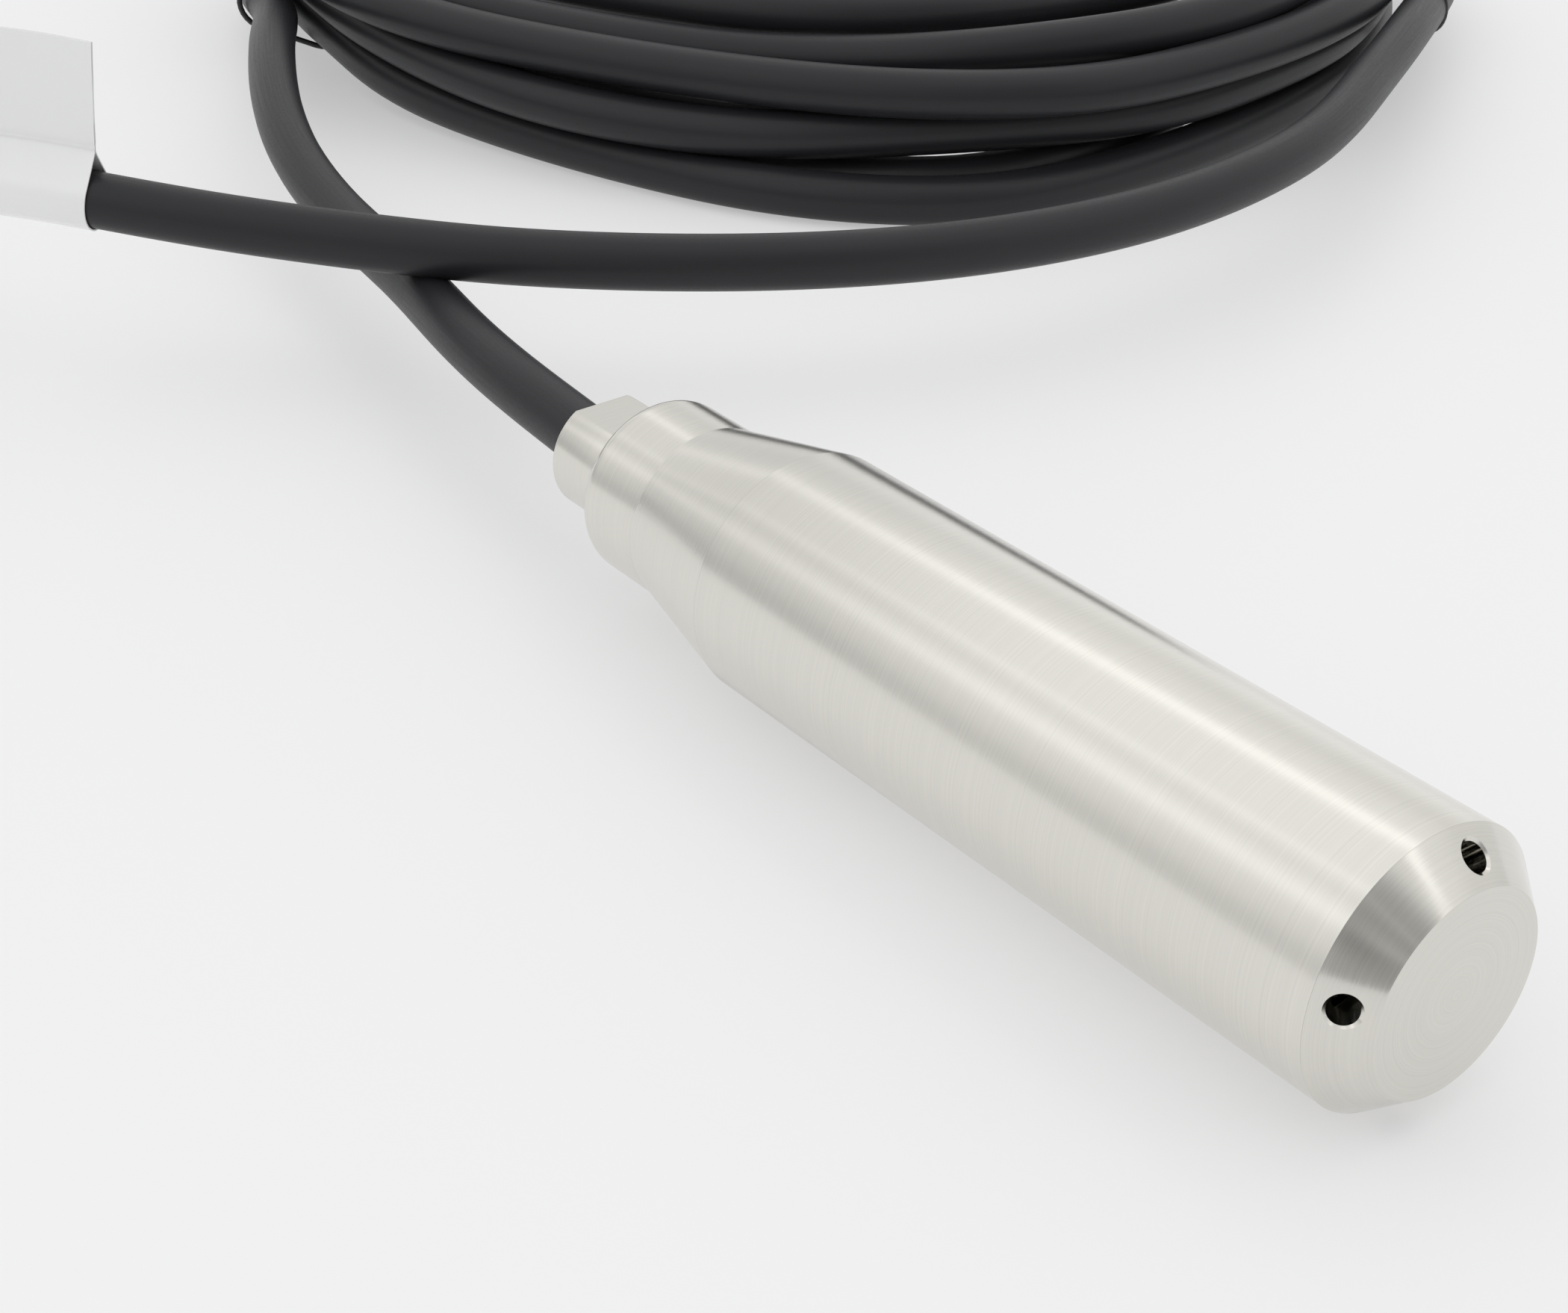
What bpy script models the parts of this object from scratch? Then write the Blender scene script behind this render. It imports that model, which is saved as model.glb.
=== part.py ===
"""Submersible level transmitter lying on its side, nose towards +X.

Metres, +Z up. The origin is on the floor under the middle of the steel probe. Lengths along the
probe are given as distances back from the nose face, in millimetres.
"""
import math

import bmesh
import bpy
from mathutils import Matrix, Vector

for leftover in list(bpy.data.objects):
    bpy.data.objects.remove(leftover)

MM = 0.001
GAP = 0.3  # clearance drawn between pieces that meet

# steel body, outside
BODY_R = 14.0
FACE_R = BODY_R - 3.8
BEVEL_LENGTH = 4.3
TOTAL = 126.5
TAPER_START = TOTAL - 37.5
TAPER_END = TOTAL - 20.9
NECK_R = BODY_R * 0.75
NECK_END = TOTAL - 10.8
NECK_EDGE_R = 1.5
GLAND_R = 7.0
FLAT_HALF = GLAND_R - 1.0  # half the size across the wrench flats
FLAT_MILL_R = 8.0

# nose cap
INLET_R = 1.65
INLET_SINK = 0.4
INLET_ANGLE = 77.5  # degrees from the top, towards -Y
INLETS = 4
CAP_FACE = 2.2
CAP_THREAD_R = BODY_R - 1.5
CHAMBER_R = CAP_THREAD_R - 2.5
CAP_END = BEVEL_LENGTH + 8.6
CAP_GROOVE = (CAP_END - 2.7, CAP_END - 0.9, CAP_THREAD_R - 1.2)  # front, rear, floor radius
CAP_RING_WIRE = 0.5

# sensor and the seats inside the housing
CELL_R = CAP_THREAD_R - 3.0
CELL_FRONT = CAP_END + 3.8
CELL_REAR = CELL_FRONT + 11.0
CELL_GROOVE = (CELL_FRONT + 3.3, CELL_FRONT + 5.7, CELL_R - 1.5)
CELL_RIM = 1.0
CELL_RECESS = 0.9
CELL_RING_WIRE = 0.6
DIAPHRAGM_T = 0.2
DIAPHRAGM_WAVE = 0.14
RETAINER_T = 3.1
RETAINER_BORE_R = CELL_R - 1.1
SLOT_WIDTH = 2.5
SEAT_LIP_R = CELL_R - 1.5
SEAT_LIP_T = 2.0
BORE_R = BODY_R - 2.0
PIN_R = 0.35
PIN_RING_R = 3.6
PIN_OUT = 5.0

# electronics
LINER_R = BORE_R - 0.4
LINER_T = 0.8
LINER = (CELL_REAR + GAP + SEAT_LIP_T + 0.4, TAPER_START - 8.8)
BOARD = (LINER[0] + 5.6, LINER[1] - 4.2)
BOARD_T = 1.6
BOARD_TOP = -1.2  # height against the probe's axis
SOLDER = 0.1  # stand-off under a component

# tail and gland
SPIGOT_FRONT = TAPER_START - 8.0
TAIL_GROOVE = (SPIGOT_FRONT + 3.0, SPIGOT_FRONT + 5.0, BORE_R - 1.7)
TAIL_RING_WIRE = 0.6
TAIL_CHAMBER_R = BORE_R - 3.0
GLAND_SEAT = TOTAL - 28.5
GLAND_SEAT_T = 2.0
GLAND_SEAT_R = 5.2
GROMMET_T = 7.0
WASHER_T = 0.8

# cable
CABLE_R = 3.75
CORE_R = 0.7
VENT_R = 0.9
COIL_HALF = 10.0
COIL_LOW = 1.5
COIL_HIGH = 23.0
COIL_CORNER = 6.0
TIE_R = 0.6
LABEL_T = 0.4
LABEL_LENGTH = 25.0
LABEL_FLAG = 19.0

AXIS_Z = BODY_R
NOSE_X = TOTAL / 2


def at(back, y=0.0, up=0.0):
    """Point in millimetres: distance back from the nose face, sideways, above the probe's axis."""
    return Vector((NOSE_X - back, y, AXIS_Z + up))


def paint(obj, colour, metallic=0.0, roughness=0.5):
    material = bpy.data.materials.new(obj.name)
    material.use_nodes = True
    shader = material.node_tree.nodes["Principled BSDF"]
    shader.inputs["Base Color"].default_value = (*colour, 1.0)
    shader.inputs["Metallic"].default_value = metallic
    shader.inputs["Roughness"].default_value = roughness
    obj.data.materials.append(material)
    return obj


STEEL = ((0.62, 0.61, 0.58), 1.0, 0.32)
RUBBER = ((0.02, 0.02, 0.022), 0.0, 0.6)
JACKET = ((0.045, 0.045, 0.047), 0.0, 0.5)


def finish(name, bm, origin, look):
    """Turns millimetre geometry into a named object whose origin is at the given point."""
    bmesh.ops.remove_doubles(bm, verts=bm.verts, dist=1e-5)
    bmesh.ops.recalc_face_normals(bm, faces=bm.faces)
    bmesh.ops.transform(bm, matrix=Matrix.Translation(-origin), verts=bm.verts)
    bmesh.ops.scale(bm, vec=(MM, MM, MM), verts=bm.verts)
    mesh = bpy.data.meshes.new(name)
    bm.to_mesh(mesh)
    bm.free()
    mesh.shade_smooth()
    mesh.set_sharp_from_angle(angle=math.radians(32))
    obj = bpy.data.objects.new(name, mesh)
    obj.location = origin * MM
    bpy.context.scene.collection.objects.link(obj)
    return paint(obj, *look) if look else obj


def spun(profile, steps, closed):
    """Spins (distance back, radius) points round the probe's axis."""
    bm = bmesh.new()
    verts = [bm.verts.new(at(back, 0, r)) for back, r in profile]
    edges = [bm.edges.new(pair) for pair in zip(verts, verts[1:])]
    if closed:
        edges.append(bm.edges.new((verts[-1], verts[0])))
    bmesh.ops.spin(bm, geom=verts + edges, cent=at(0), axis=(1, 0, 0), angle=math.tau, steps=steps,
                   use_merge=True)
    return bm


def turned(name, profile, look, steps=48, closed=True):
    return finish(name, spun(profile, steps, closed), at(profile[0][0]), look)


def ring(name, back, major, wire, look=RUBBER, steps=40, sides=8):
    """A round-section ring on the probe's axis."""
    profile = [(back + wire * math.cos(math.tau * i / sides), major + wire * math.sin(math.tau * i / sides))
               for i in range(sides)]
    return turned(name, profile, look, steps)


def block(name, low, high, look, round_edges=0.15):
    """A box between two corners given as (back, y, up), with softened edges."""
    a, b = at(*low), at(*high)
    centre, size = (a + b) / 2, Vector([abs(v) for v in b - a])
    bm = bmesh.new()
    bmesh.ops.create_cube(bm, size=1.0)
    bmesh.ops.scale(bm, vec=size, verts=bm.verts)
    bmesh.ops.translate(bm, vec=centre, verts=bm.verts)
    if round_edges:
        bmesh.ops.bevel(bm, geom=bm.edges, offset=round_edges, segments=1, affect="EDGES")
    return finish(name, bm, centre, look)


def post(name, foot, radius, height, look, steps=24, edge=0.3):
    """An upright can standing at (back, y, up)."""
    base = at(*foot)
    bm = bmesh.new()
    bmesh.ops.create_cone(bm, cap_ends=True, segments=steps, radius1=radius, radius2=radius, depth=height)
    bmesh.ops.translate(bm, vec=base + Vector((0, 0, height / 2)), verts=bm.verts)
    rims = [e for e in bm.edges if abs(e.verts[0].co.z - e.verts[1].co.z) < 1e-6]
    bmesh.ops.bevel(bm, geom=rims, offset=edge, segments=1, affect="EDGES")
    return finish(name, bm, base, look)


def smooth(route, spacing, closed=False):
    """Points at even spacing along a rounded curve through the route."""
    pts = [Vector(p) for p in route]
    n = len(pts)
    spans = n if closed else n - 1

    def neighbour(i):
        return pts[i % n] if closed else pts[min(max(i, 0), n - 1)]

    dense = []
    for i in range(spans):
        p0, p1, p2, p3 = (neighbour(i + k) for k in (-1, 0, 1, 2))
        for k in range(16):
            t = k / 16
            dense.append(0.5 * (2 * p1 + (p2 - p0) * t + (2 * p0 - 5 * p1 + 4 * p2 - p3) * t ** 2
                                + (3 * p1 - p0 - 3 * p2 + p3) * t ** 3))
    dense.append(pts[0].copy() if closed else pts[-1])
    lengths = [0.0]
    for a, b in zip(dense, dense[1:]):
        lengths.append(lengths[-1] + (b - a).length)
    count = max(2, round(lengths[-1] / spacing))
    out, j = [], 0
    for k in range(count if closed else count + 1):
        goal = lengths[-1] * k / count
        while j < len(dense) - 2 and lengths[j + 1] < goal:
            j += 1
        step = (goal - lengths[j]) / max(lengths[j + 1] - lengths[j], 1e-9)
        out.append(dense[j].lerp(dense[j + 1], min(step, 1.0)))
    return out


def strand(name, points, radius, look, sides=3, cyclic=False):
    """A round tube through the points, in millimetres."""
    origin = Vector(points[0])
    curve = bpy.data.curves.new(name, "CURVE")
    curve.dimensions = "3D"
    curve.fill_mode = "FULL"
    curve.bevel_depth = radius * MM
    curve.bevel_resolution = sides
    curve.use_fill_caps = not cyclic
    spline = curve.splines.new("POLY")
    spline.points.add(len(points) - 1)
    for slot, point in zip(spline.points, points):
        slot.co = (*((Vector(point) - origin) * MM), 1.0)
    spline.use_cyclic_u = cyclic
    obj = bpy.data.objects.new(name, curve)
    obj.location = origin * MM
    bpy.context.scene.collection.objects.link(obj)
    return paint(obj, *look)


def cut(target, cutter):
    """Takes the cutter's shape out of the target."""
    cutter.hide_render = True
    cutter.display_type = "WIRE"
    modifier = target.modifiers.new("cut " + cutter.name, "BOOLEAN")
    modifier.operation = "DIFFERENCE"
    modifier.solver = "EXACT"
    modifier.object = cutter


# Nose cap: a turned cup whose bevel carries the inlet holes, each square to the bevel.
nose_cap = turned("nose_cap", [
    (0, 0), (0, FACE_R), (BEVEL_LENGTH, BODY_R), (BEVEL_LENGTH, CAP_THREAD_R),
    (CAP_GROOVE[0], CAP_THREAD_R), (CAP_GROOVE[0], CAP_GROOVE[2]), (CAP_GROOVE[1], CAP_GROOVE[2]),
    (CAP_GROOVE[1], CAP_THREAD_R - 0.2), (CAP_END - 0.4, CAP_THREAD_R - 0.2), (CAP_END, CAP_THREAD_R - 0.6),
    (CAP_END, CHAMBER_R), (CAP_FACE + 0.8, CHAMBER_R), (CAP_FACE, CHAMBER_R - 0.8), (CAP_FACE, 0),
], STEEL, closed=False)

bevel_angle = math.atan2(BEVEL_LENGTH, BODY_R - FACE_R)  # of the bevel's normal, away from the axis
for number in range(INLETS):
    bm = bmesh.new()
    section = [(0, -5.6), (INLET_R, -5.6), (INLET_R, -INLET_SINK), (INLET_R + INLET_SINK + 0.5, 0.5), (0, 0.5)]
    verts = [bm.verts.new((r, 0, z)) for r, z in section]
    edges = [bm.edges.new(pair) for pair in zip(verts, verts[1:])]
    bmesh.ops.spin(bm, geom=verts + edges, cent=(0, 0, 0), axis=(0, 0, 1), angle=math.tau, steps=24,
                   use_merge=True)
    turn = math.radians(INLET_ANGLE + 360 / INLETS * number)
    place = (Matrix.Translation(at(0)) @ Matrix.Rotation(turn, 4, "X")
             @ Matrix.Translation((-BEVEL_LENGTH / 2, 0, (FACE_R + BODY_R) / 2))
             @ Matrix.Rotation(math.pi / 2 - bevel_angle, 4, "Y"))
    bmesh.ops.transform(bm, matrix=place, verts=bm.verts)
    cut(nose_cap, finish(f"inlet_drill_{number + 1}", bm, at(BEVEL_LENGTH / 2), None))

ring("cap_oring", (CAP_GROOVE[0] + CAP_GROOVE[1]) / 2, CAP_GROOVE[2] + 0.2 + CAP_RING_WIRE, CAP_RING_WIRE)

# Housing tube: bored from the front for cap, retaining ring and cell, and from the rear for the board.
FRONT_BORE_R = CAP_THREAD_R + GAP
RETAINER_FRONT = CAP_END + 0.4
CELL_STEP = CELL_FRONT + GAP
LIP = (CELL_REAR + GAP, CELL_REAR + GAP + SEAT_LIP_T)
turned("housing_tube", [
    (BEVEL_LENGTH + GAP, FRONT_BORE_R + 0.3), (BEVEL_LENGTH + GAP, BODY_R), (TAPER_START - GAP, BODY_R),
    (TAPER_START - GAP, BORE_R + 0.3), (TAPER_START - GAP - 0.3, BORE_R), (LIP[1], BORE_R), (LIP[1], SEAT_LIP_R),
    (LIP[0], SEAT_LIP_R), (LIP[0], CELL_R + GAP), (CELL_STEP, CELL_R + GAP), (CELL_STEP, FRONT_BORE_R),
    (BEVEL_LENGTH + GAP + 0.3, FRONT_BORE_R),
], STEEL)

# Sensor cell with its diaphragm, seal and threaded retaining ring.
retainer = turned("retaining_ring", [
    (RETAINER_FRONT, RETAINER_BORE_R), (RETAINER_FRONT, CAP_THREAD_R - 0.3),
    (RETAINER_FRONT + 0.3, CAP_THREAD_R), (RETAINER_FRONT + RETAINER_T, CAP_THREAD_R),
    (RETAINER_FRONT + RETAINER_T, RETAINER_BORE_R),
], STEEL)
slot = block("spanner_slot", (RETAINER_FRONT - 1, -CAP_THREAD_R - 1, -SLOT_WIDTH / 2),
             (RETAINER_FRONT + 1.2, CAP_THREAD_R + 1, SLOT_WIDTH / 2), None, 0)
cut(retainer, slot)

turned("sensor_cell", [
    (CELL_FRONT + CELL_RECESS, 0), (CELL_FRONT + CELL_RECESS, CELL_R - CELL_RIM), (CELL_FRONT, CELL_R - CELL_RIM),
    (CELL_FRONT, CELL_R - 0.2), (CELL_FRONT + 0.2, CELL_R), (CELL_GROOVE[0], CELL_R), (CELL_GROOVE[0], CELL_GROOVE[2]),
    (CELL_GROOVE[1], CELL_GROOVE[2]), (CELL_GROOVE[1], CELL_R), (CELL_REAR, CELL_R), (CELL_REAR, 6.4),
    (CELL_REAR - 0.8, 6.0), (CELL_REAR - 0.8, 0),
], STEEL, steps=40, closed=False)
ring("sensor_oring", (CELL_GROOVE[0] + CELL_GROOVE[1]) / 2, CELL_GROOVE[2] + 0.25 + CELL_RING_WIRE, CELL_RING_WIRE,
     steps=40)

DIAPHRAGM_R = CELL_R - CELL_RIM - GAP
diaphragm_back = CELL_FRONT + CELL_RECESS / 2
waves = [DIAPHRAGM_R * k / 12 for k in range(13)]
front_side = [(diaphragm_back - DIAPHRAGM_T / 2 + DIAPHRAGM_WAVE * math.cos(r * 1.55), r) for r in waves]
rear_side = [(back + DIAPHRAGM_T, r) for back, r in reversed(front_side)]
turned("sensor_diaphragm", front_side + rear_side, ((0.7, 0.7, 0.68), 1.0, 0.22), steps=32, closed=False)

for number in range(4):
    turn = math.radians(45 + 90 * number)
    foot = (PIN_RING_R * math.sin(turn), PIN_RING_R * math.cos(turn))
    start = CELL_REAR - 0.8 + GAP
    strand(f"sensor_pin_{number + 1}", [at(start, *foot), at(CELL_REAR + PIN_OUT, *foot)], PIN_R,
           ((0.8, 0.62, 0.3), 1.0, 0.25), 2)
    # each lead bends from its pin to a pad at the board's front edge
    y_pad = math.copysign(2.2 if foot[1] > 0 else 5.6, foot[0])
    lift = BOARD_TOP + 0.55 + SOLDER
    colour = ((0.6, 0.05, 0.04), (0.05, 0.2, 0.5), (0.75, 0.72, 0.6), (0.05, 0.3, 0.1))[number]
    route = [at(CELL_REAR + PIN_OUT + GAP, *foot), at(CELL_REAR + PIN_OUT + 1.4, *foot),
             at(BOARD[0] + 0.4, (foot[0] + y_pad) / 2, max(foot[1], lift + 0.9)), at(BOARD[0] + 2.6, y_pad, lift + 0.2),
             at(BOARD[0] + 4.4, y_pad, lift)]
    if foot[1] < 0:
        # the lower pins reach the board's underside
        under = BOARD_TOP - BOARD_T - 0.55 - SOLDER
        route[2] = at(BOARD[0] + 0.4, (foot[0] + y_pad) / 2, under - 0.2)
        route[3], route[4] = at(BOARD[0] + 2.6, y_pad, under - 0.1), at(BOARD[0] + 4.4, y_pad, under)
    strand(f"sensor_wire_{number + 1}", smooth(route, 1.2), 0.45, (colour, 0.0, 0.45), 2)

turned("reference_tube", [(CELL_REAR - 0.5, 0.55), (CELL_REAR - 0.5, 0.95), (CELL_REAR + 5.5, 0.95),
                          (CELL_REAR + 5.5, 0.55)], STEEL, steps=20)

# Electronics on one board inside an insulating liner.
turned("insulating_sleeve", [(LINER[0], LINER_R - LINER_T), (LINER[0], LINER_R), (LINER[1], LINER_R),
                             (LINER[1], LINER_R - LINER_T)], ((0.72, 0.7, 0.62), 0.0, 0.4), steps=48)
board_low = BOARD_TOP - BOARD_T
board_half = math.sqrt((LINER_R - LINER_T) ** 2 - board_low ** 2) - GAP
block("circuit_board", (BOARD[0], -board_half, board_low), (BOARD[1], board_half, BOARD_TOP),
      ((0.02, 0.16, 0.07), 0.0, 0.35), 0.1)


board_length = BOARD[1] - BOARD[0]


def component(name, share, y, length, width, height, look):
    """A part on the board, at a share of its length."""
    base = BOARD_TOP + SOLDER
    back = BOARD[0] + board_length * share
    return block(name, (back - length / 2, y - width / 2, base), (back + length / 2, y + width / 2, base + height),
                 look, 0.2)


CHIP = ((0.025, 0.025, 0.028), 0.0, 0.4)
component("amplifier_chip", 0.25, 0.0, board_length / 8, 6.2, 1.75, CHIP)
component("transmitter_chip", 0.5125, 0.6, board_length / 4, board_half * 0.7, 2.3, CHIP)
component("surge_diode", 0.72, -board_half * 0.553, 4.3, 3.6, 2.3, CHIP)
component("zero_trimmer", 0.3575, -board_half * 0.68, 6.6, 4.4, 4.8, ((0.05, 0.16, 0.5), 0.0, 0.35))
component("span_trimmer", 0.3575, board_half * 0.68, 6.6, 4.4, 4.8, ((0.05, 0.16, 0.5), 0.0, 0.35))
component("terminal_block", 0.9, 0.0, board_length * 0.175, 11.4, 6.4, ((0.06, 0.32, 0.12), 0.0, 0.4))
CAPACITOR_R = 2.4
outer_y = board_half * 0.69
for number, y in ((1, outer_y - 2 * CAPACITOR_R - 0.6), (2, outer_y)):
    post(f"capacitor_{number}", (BOARD[0] + board_length * 0.715, y, BOARD_TOP + SOLDER), CAPACITOR_R, 5.2, ((0.12, 0.12, 0.13), 0.3, 0.35))

# Tail adapter: spigot into the housing, taper, neck, and the pocket for the cable seal.
round_edge = [(NECK_END - NECK_EDGE_R * (1 - math.sin(a)), NECK_R - NECK_EDGE_R * (1 - math.cos(a)))
              for a in (math.radians(22.5 * k) for k in range(5))]
SPIGOT_R = BORE_R - GAP
PRESS_R = GLAND_R - GAP
turned("tail_adapter", [
    (SPIGOT_FRONT, TAIL_CHAMBER_R), (SPIGOT_FRONT, SPIGOT_R - 0.4), (SPIGOT_FRONT + 0.4, SPIGOT_R),
    (TAIL_GROOVE[0], SPIGOT_R), (TAIL_GROOVE[0], TAIL_GROOVE[2]), (TAIL_GROOVE[1], TAIL_GROOVE[2]),
    (TAIL_GROOVE[1], SPIGOT_R), (TAPER_START, SPIGOT_R), (TAPER_START, BODY_R), (TAPER_END, NECK_R),
    *round_edge, (NECK_END, GLAND_R), (GLAND_SEAT + GLAND_SEAT_T, GLAND_R), (GLAND_SEAT + GLAND_SEAT_T, GLAND_SEAT_R),
    (GLAND_SEAT, GLAND_SEAT_R), (GLAND_SEAT - 2.0, TAIL_CHAMBER_R),
], STEEL)
ring("tail_oring", (TAIL_GROOVE[0] + TAIL_GROOVE[1]) / 2, TAIL_GROOVE[2] + 0.25 + TAIL_RING_WIRE, TAIL_RING_WIRE)

# Cable seal: washer, rubber grommet, washer, squeezed by the gland nut.
hole = CABLE_R + GAP


def seal_disc(name, front, thickness, look):
    turned(name, [(front, hole), (front, PRESS_R), (front + thickness, PRESS_R), (front + thickness, hole)], look,
           steps=40)
    return front + thickness + GAP


back = seal_disc("washer_front", GLAND_SEAT + GLAND_SEAT_T + GAP, WASHER_T, STEEL)
back = seal_disc("grommet", back, GROMMET_T, RUBBER)
back = seal_disc("washer_rear", back, WASHER_T, STEEL)
gland_nut = turned("gland_nut", [
    (back, hole), (back, PRESS_R), (NECK_END + GAP, PRESS_R), (NECK_END + GAP, GLAND_R),
    (TOTAL - 0.3, GLAND_R), (TOTAL, GLAND_R - 0.3), (TOTAL, hole + 0.4), (TOTAL - 0.4, hole),
], STEEL)
for side, number in ((1, 1), (-1, 2)):
    bm = bmesh.new()
    bmesh.ops.create_cone(bm, cap_ends=True, segments=64, radius1=FLAT_MILL_R, radius2=FLAT_MILL_R, depth=4.0)
    centre = at(TOTAL - 1.0, 0, side * (FLAT_HALF + 2.0))
    bmesh.ops.translate(bm, vec=centre, verts=bm.verts)
    cut(gland_nut, finish(f"flat_mill_{number}", bm, centre, None))

# Cable end inside the gland, with the cores that run on to the terminals.
ROOT_FRONT = GLAND_SEAT - 1.0
strand("cable_root", [at(TOTAL), at(ROOT_FRONT + 11), at(ROOT_FRONT)], CABLE_R, JACKET)
INNER = (("supply_wire_red", 1.5, 1.2, 3.2, ((0.6, 0.05, 0.04), 0.0, 0.45)),
         ("supply_wire_black", -1.5, 1.2, -3.2, ((0.02, 0.02, 0.02), 0.0, 0.45)),
         ("shield_wire", 0.0, 2.4, 0.0, ((0.7, 0.68, 0.6), 0.0, 0.45)))
for name, y, up, y_end, look in INNER:
    strand(name, smooth([at(ROOT_FRONT - GAP, y, up), at(ROOT_FRONT - 5, y * 1.2, up + 0.4), at(BOARD[1] + 7, y_end, 2.6),
                         at(BOARD[1] + 3, y_end, 2.2), at(BOARD[1] - 0.5 + GAP, y_end, 2.0)], 2.2), CORE_R, look, 2)
strand("breather_tube", smooth([at(ROOT_FRONT - GAP, 0, -1.5), at(ROOT_FRONT - 5, 0.4, -2.6), at(SPIGOT_FRONT + 5, 1.2, -5.0),
                                at(SPIGOT_FRONT - 2, 1.6, -6.6)], 2.2), VENT_R, ((0.8, 0.8, 0.78), 0.0, 0.4), 2)

# Cable outside, in millimetres from the origin: the lead, the coil and the tail that ends in bare cores.
LEAD_ROUTE = [(-NOSE_X - GAP, 0, 14), (-73, 0.7, 14), (-86.6, 1.6, 14), (-95.6, 2.9, 13.6), (-107, 5.3, 13.0),
              (-122, 9.7, 12.0), (-134, 11.9, 11.6), (-146, 13.9, 11.8), (-162, 17, 12.8), (-174, 19.8, 14),
              (-188, 24, 15), (-202, 29.3, 15.4), (-215, 35.2, 15.4), (-229.0, 44.65, 15.2)]
strand("cable_lead", smooth(LEAD_ROUTE, 9), CABLE_R, JACKET)

COIL_ROUTE = [(-233, 50), (-217, 56), (-199, 61), (-183, 65), (-169, 70), (-157, 76), (-147, 83), (-137, 90),
              (-129, 98), (-122, 107), (-116.5, 117), (-113.5, 130), (-113.5, 147), (-116, 167), (-120, 188),
              (-126, 207), (-139, 228), (-163, 244), (-202, 250), (-243, 240), (-280, 214), (-304, 176),
              (-312, 136), (-306, 97), (-287, 68), (-261, 52)]
middle = smooth([(x, y, 0) for x, y in COIL_ROUTE], 11, closed=True)
count = len(middle)
sideways = []
for i in range(count):
    along = middle[(i + 1) % count] - middle[i - 1]
    sideways.append(Vector((along.y, -along.x, 0)).normalized())
# the turns' outline in section: a rounded rectangle that reaches outwards as far as the outer turn
COIL_INSET = CABLE_R - COIL_HALF
section = []
for side, level, start in ((1, 1, 0), (-1, 1, 90), (-1, -1, 180), (1, -1, 270)):
    mid, half = (COIL_HIGH + COIL_LOW) / 2, (COIL_HIGH - COIL_LOW) / 2
    for k in range(4):
        a = math.radians(start + 30 * k)
        section.append((COIL_INSET + side * (COIL_HALF - COIL_CORNER) + COIL_CORNER * math.cos(a),
                        mid + level * (half - COIL_CORNER) + COIL_CORNER * math.sin(a)))
bm = bmesh.new()
rows = [[bm.verts.new(m + s * off + Vector((0, 0, level))) for m, s in zip(middle, sideways)]
        for off, level in section]
for row, following in zip(rows, rows[1:] + rows[:1]):
    for i in range(count):
        j = (i + 1) % count
        bm.faces.new((row[i], row[j], following[j], following[i]))
finish("cable_coil", bm, Vector((-213, 150, COIL_LOW)), JACKET)


def tie(name, index):
    """A wire loop round the coil's section at one of its points."""
    out, up = sideways[index], Vector((0, 0, 1))
    half = COIL_HALF + GAP + TIE_R
    low, high = COIL_LOW - GAP - TIE_R, COIL_HIGH + GAP + TIE_R
    corner = COIL_CORNER + GAP + TIE_R
    points = []
    for side, level, start in ((1, high, 0), (-1, high, 90), (-1, low, 180), (1, low, 270)):
        centre_out = side * (half - corner)
        centre_up = level - corner if level == high else level + corner
        for k in range(5):
            a = math.radians(start + 22.5 * k)
            points.append(middle[index] + out * (COIL_INSET + centre_out + corner * math.cos(a))
                          + up * (centre_up + corner * math.sin(a)))
    strand(name, points, TIE_R, ((0.02, 0.02, 0.02), 0.0, 0.4), 2, cyclic=True)


def nearest(x, y):
    return min(range(count), key=lambda i: (middle[i] - Vector((x, y, 0))).length)


tie("tie_left", nearest(-240, 50))
tie("tie_right", nearest(-126, 207))

TAIL_ROUTE = [(-115.5, 199.8, 16), (-109.5, 194.5, 16), (-102.5, 184.5, 16), (-94.7, 169.2, 16), (-83, 146.2, 16.2),
              (-77.5, 131.6, 16.6), (-74.3, 119.6, 17), (-71.8, 100, 17.2), (-72.6, 84, 17.6), (-76.5, 65.5, 18.2),
              (-84.3, 48.6, 19), (-97.3, 29.2, 19.6), (-113.4, 9.9, 20.4), (-127.8, -4.2, 21.4), (-139.4, -15.4, 22.8)]
LABEL_START = Vector((-147.0, -22.0, 24.0))
LABEL_ALONG = Vector((-0.75, -0.65, 0.10)).normalized()
AFTER_ROUTE = [LABEL_START + LABEL_ALONG * (LABEL_LENGTH + 2), (-177, -47, 25), (-191, -58, 19.5), (-204, -68, 10.5),
               (-216, -76, 5.0), (-229, -82, CABLE_R)]
tail_points = smooth(TAIL_ROUTE, 9) + [LABEL_START] + smooth(AFTER_ROUTE, 8)
strand("cable_tail", tail_points, CABLE_R, JACKET)

# Flag label: one strip folded round the cable with its ends stuck together as a flag above it.
up = Vector((0, 0, 1)) - LABEL_ALONG * LABEL_ALONG.z
up.normalize()
out = LABEL_ALONG.cross(up)
inner = CABLE_R + GAP
outer = inner + LABEL_T
bm = bmesh.new()
opening = math.degrees(math.asin(LABEL_T / outer))
angles = [math.radians(90 + opening + (360 - 2 * opening) * k / 24) for k in range(25)]
loop = [out * (outer * math.cos(a)) + up * (outer * math.sin(a)) for a in angles]
top = [out * (LABEL_T * side) + up * (outer + LABEL_FLAG) for side in (1, -1)]
outline = loop + top
hole_points = [out * (inner * math.cos(math.tau * k / 24)) + up * (inner * math.sin(math.tau * k / 24))
               for k in range(24)]
base = LABEL_START + LABEL_ALONG * 1.0
outer_verts = [bm.verts.new(base + p) for p in outline]
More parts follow.
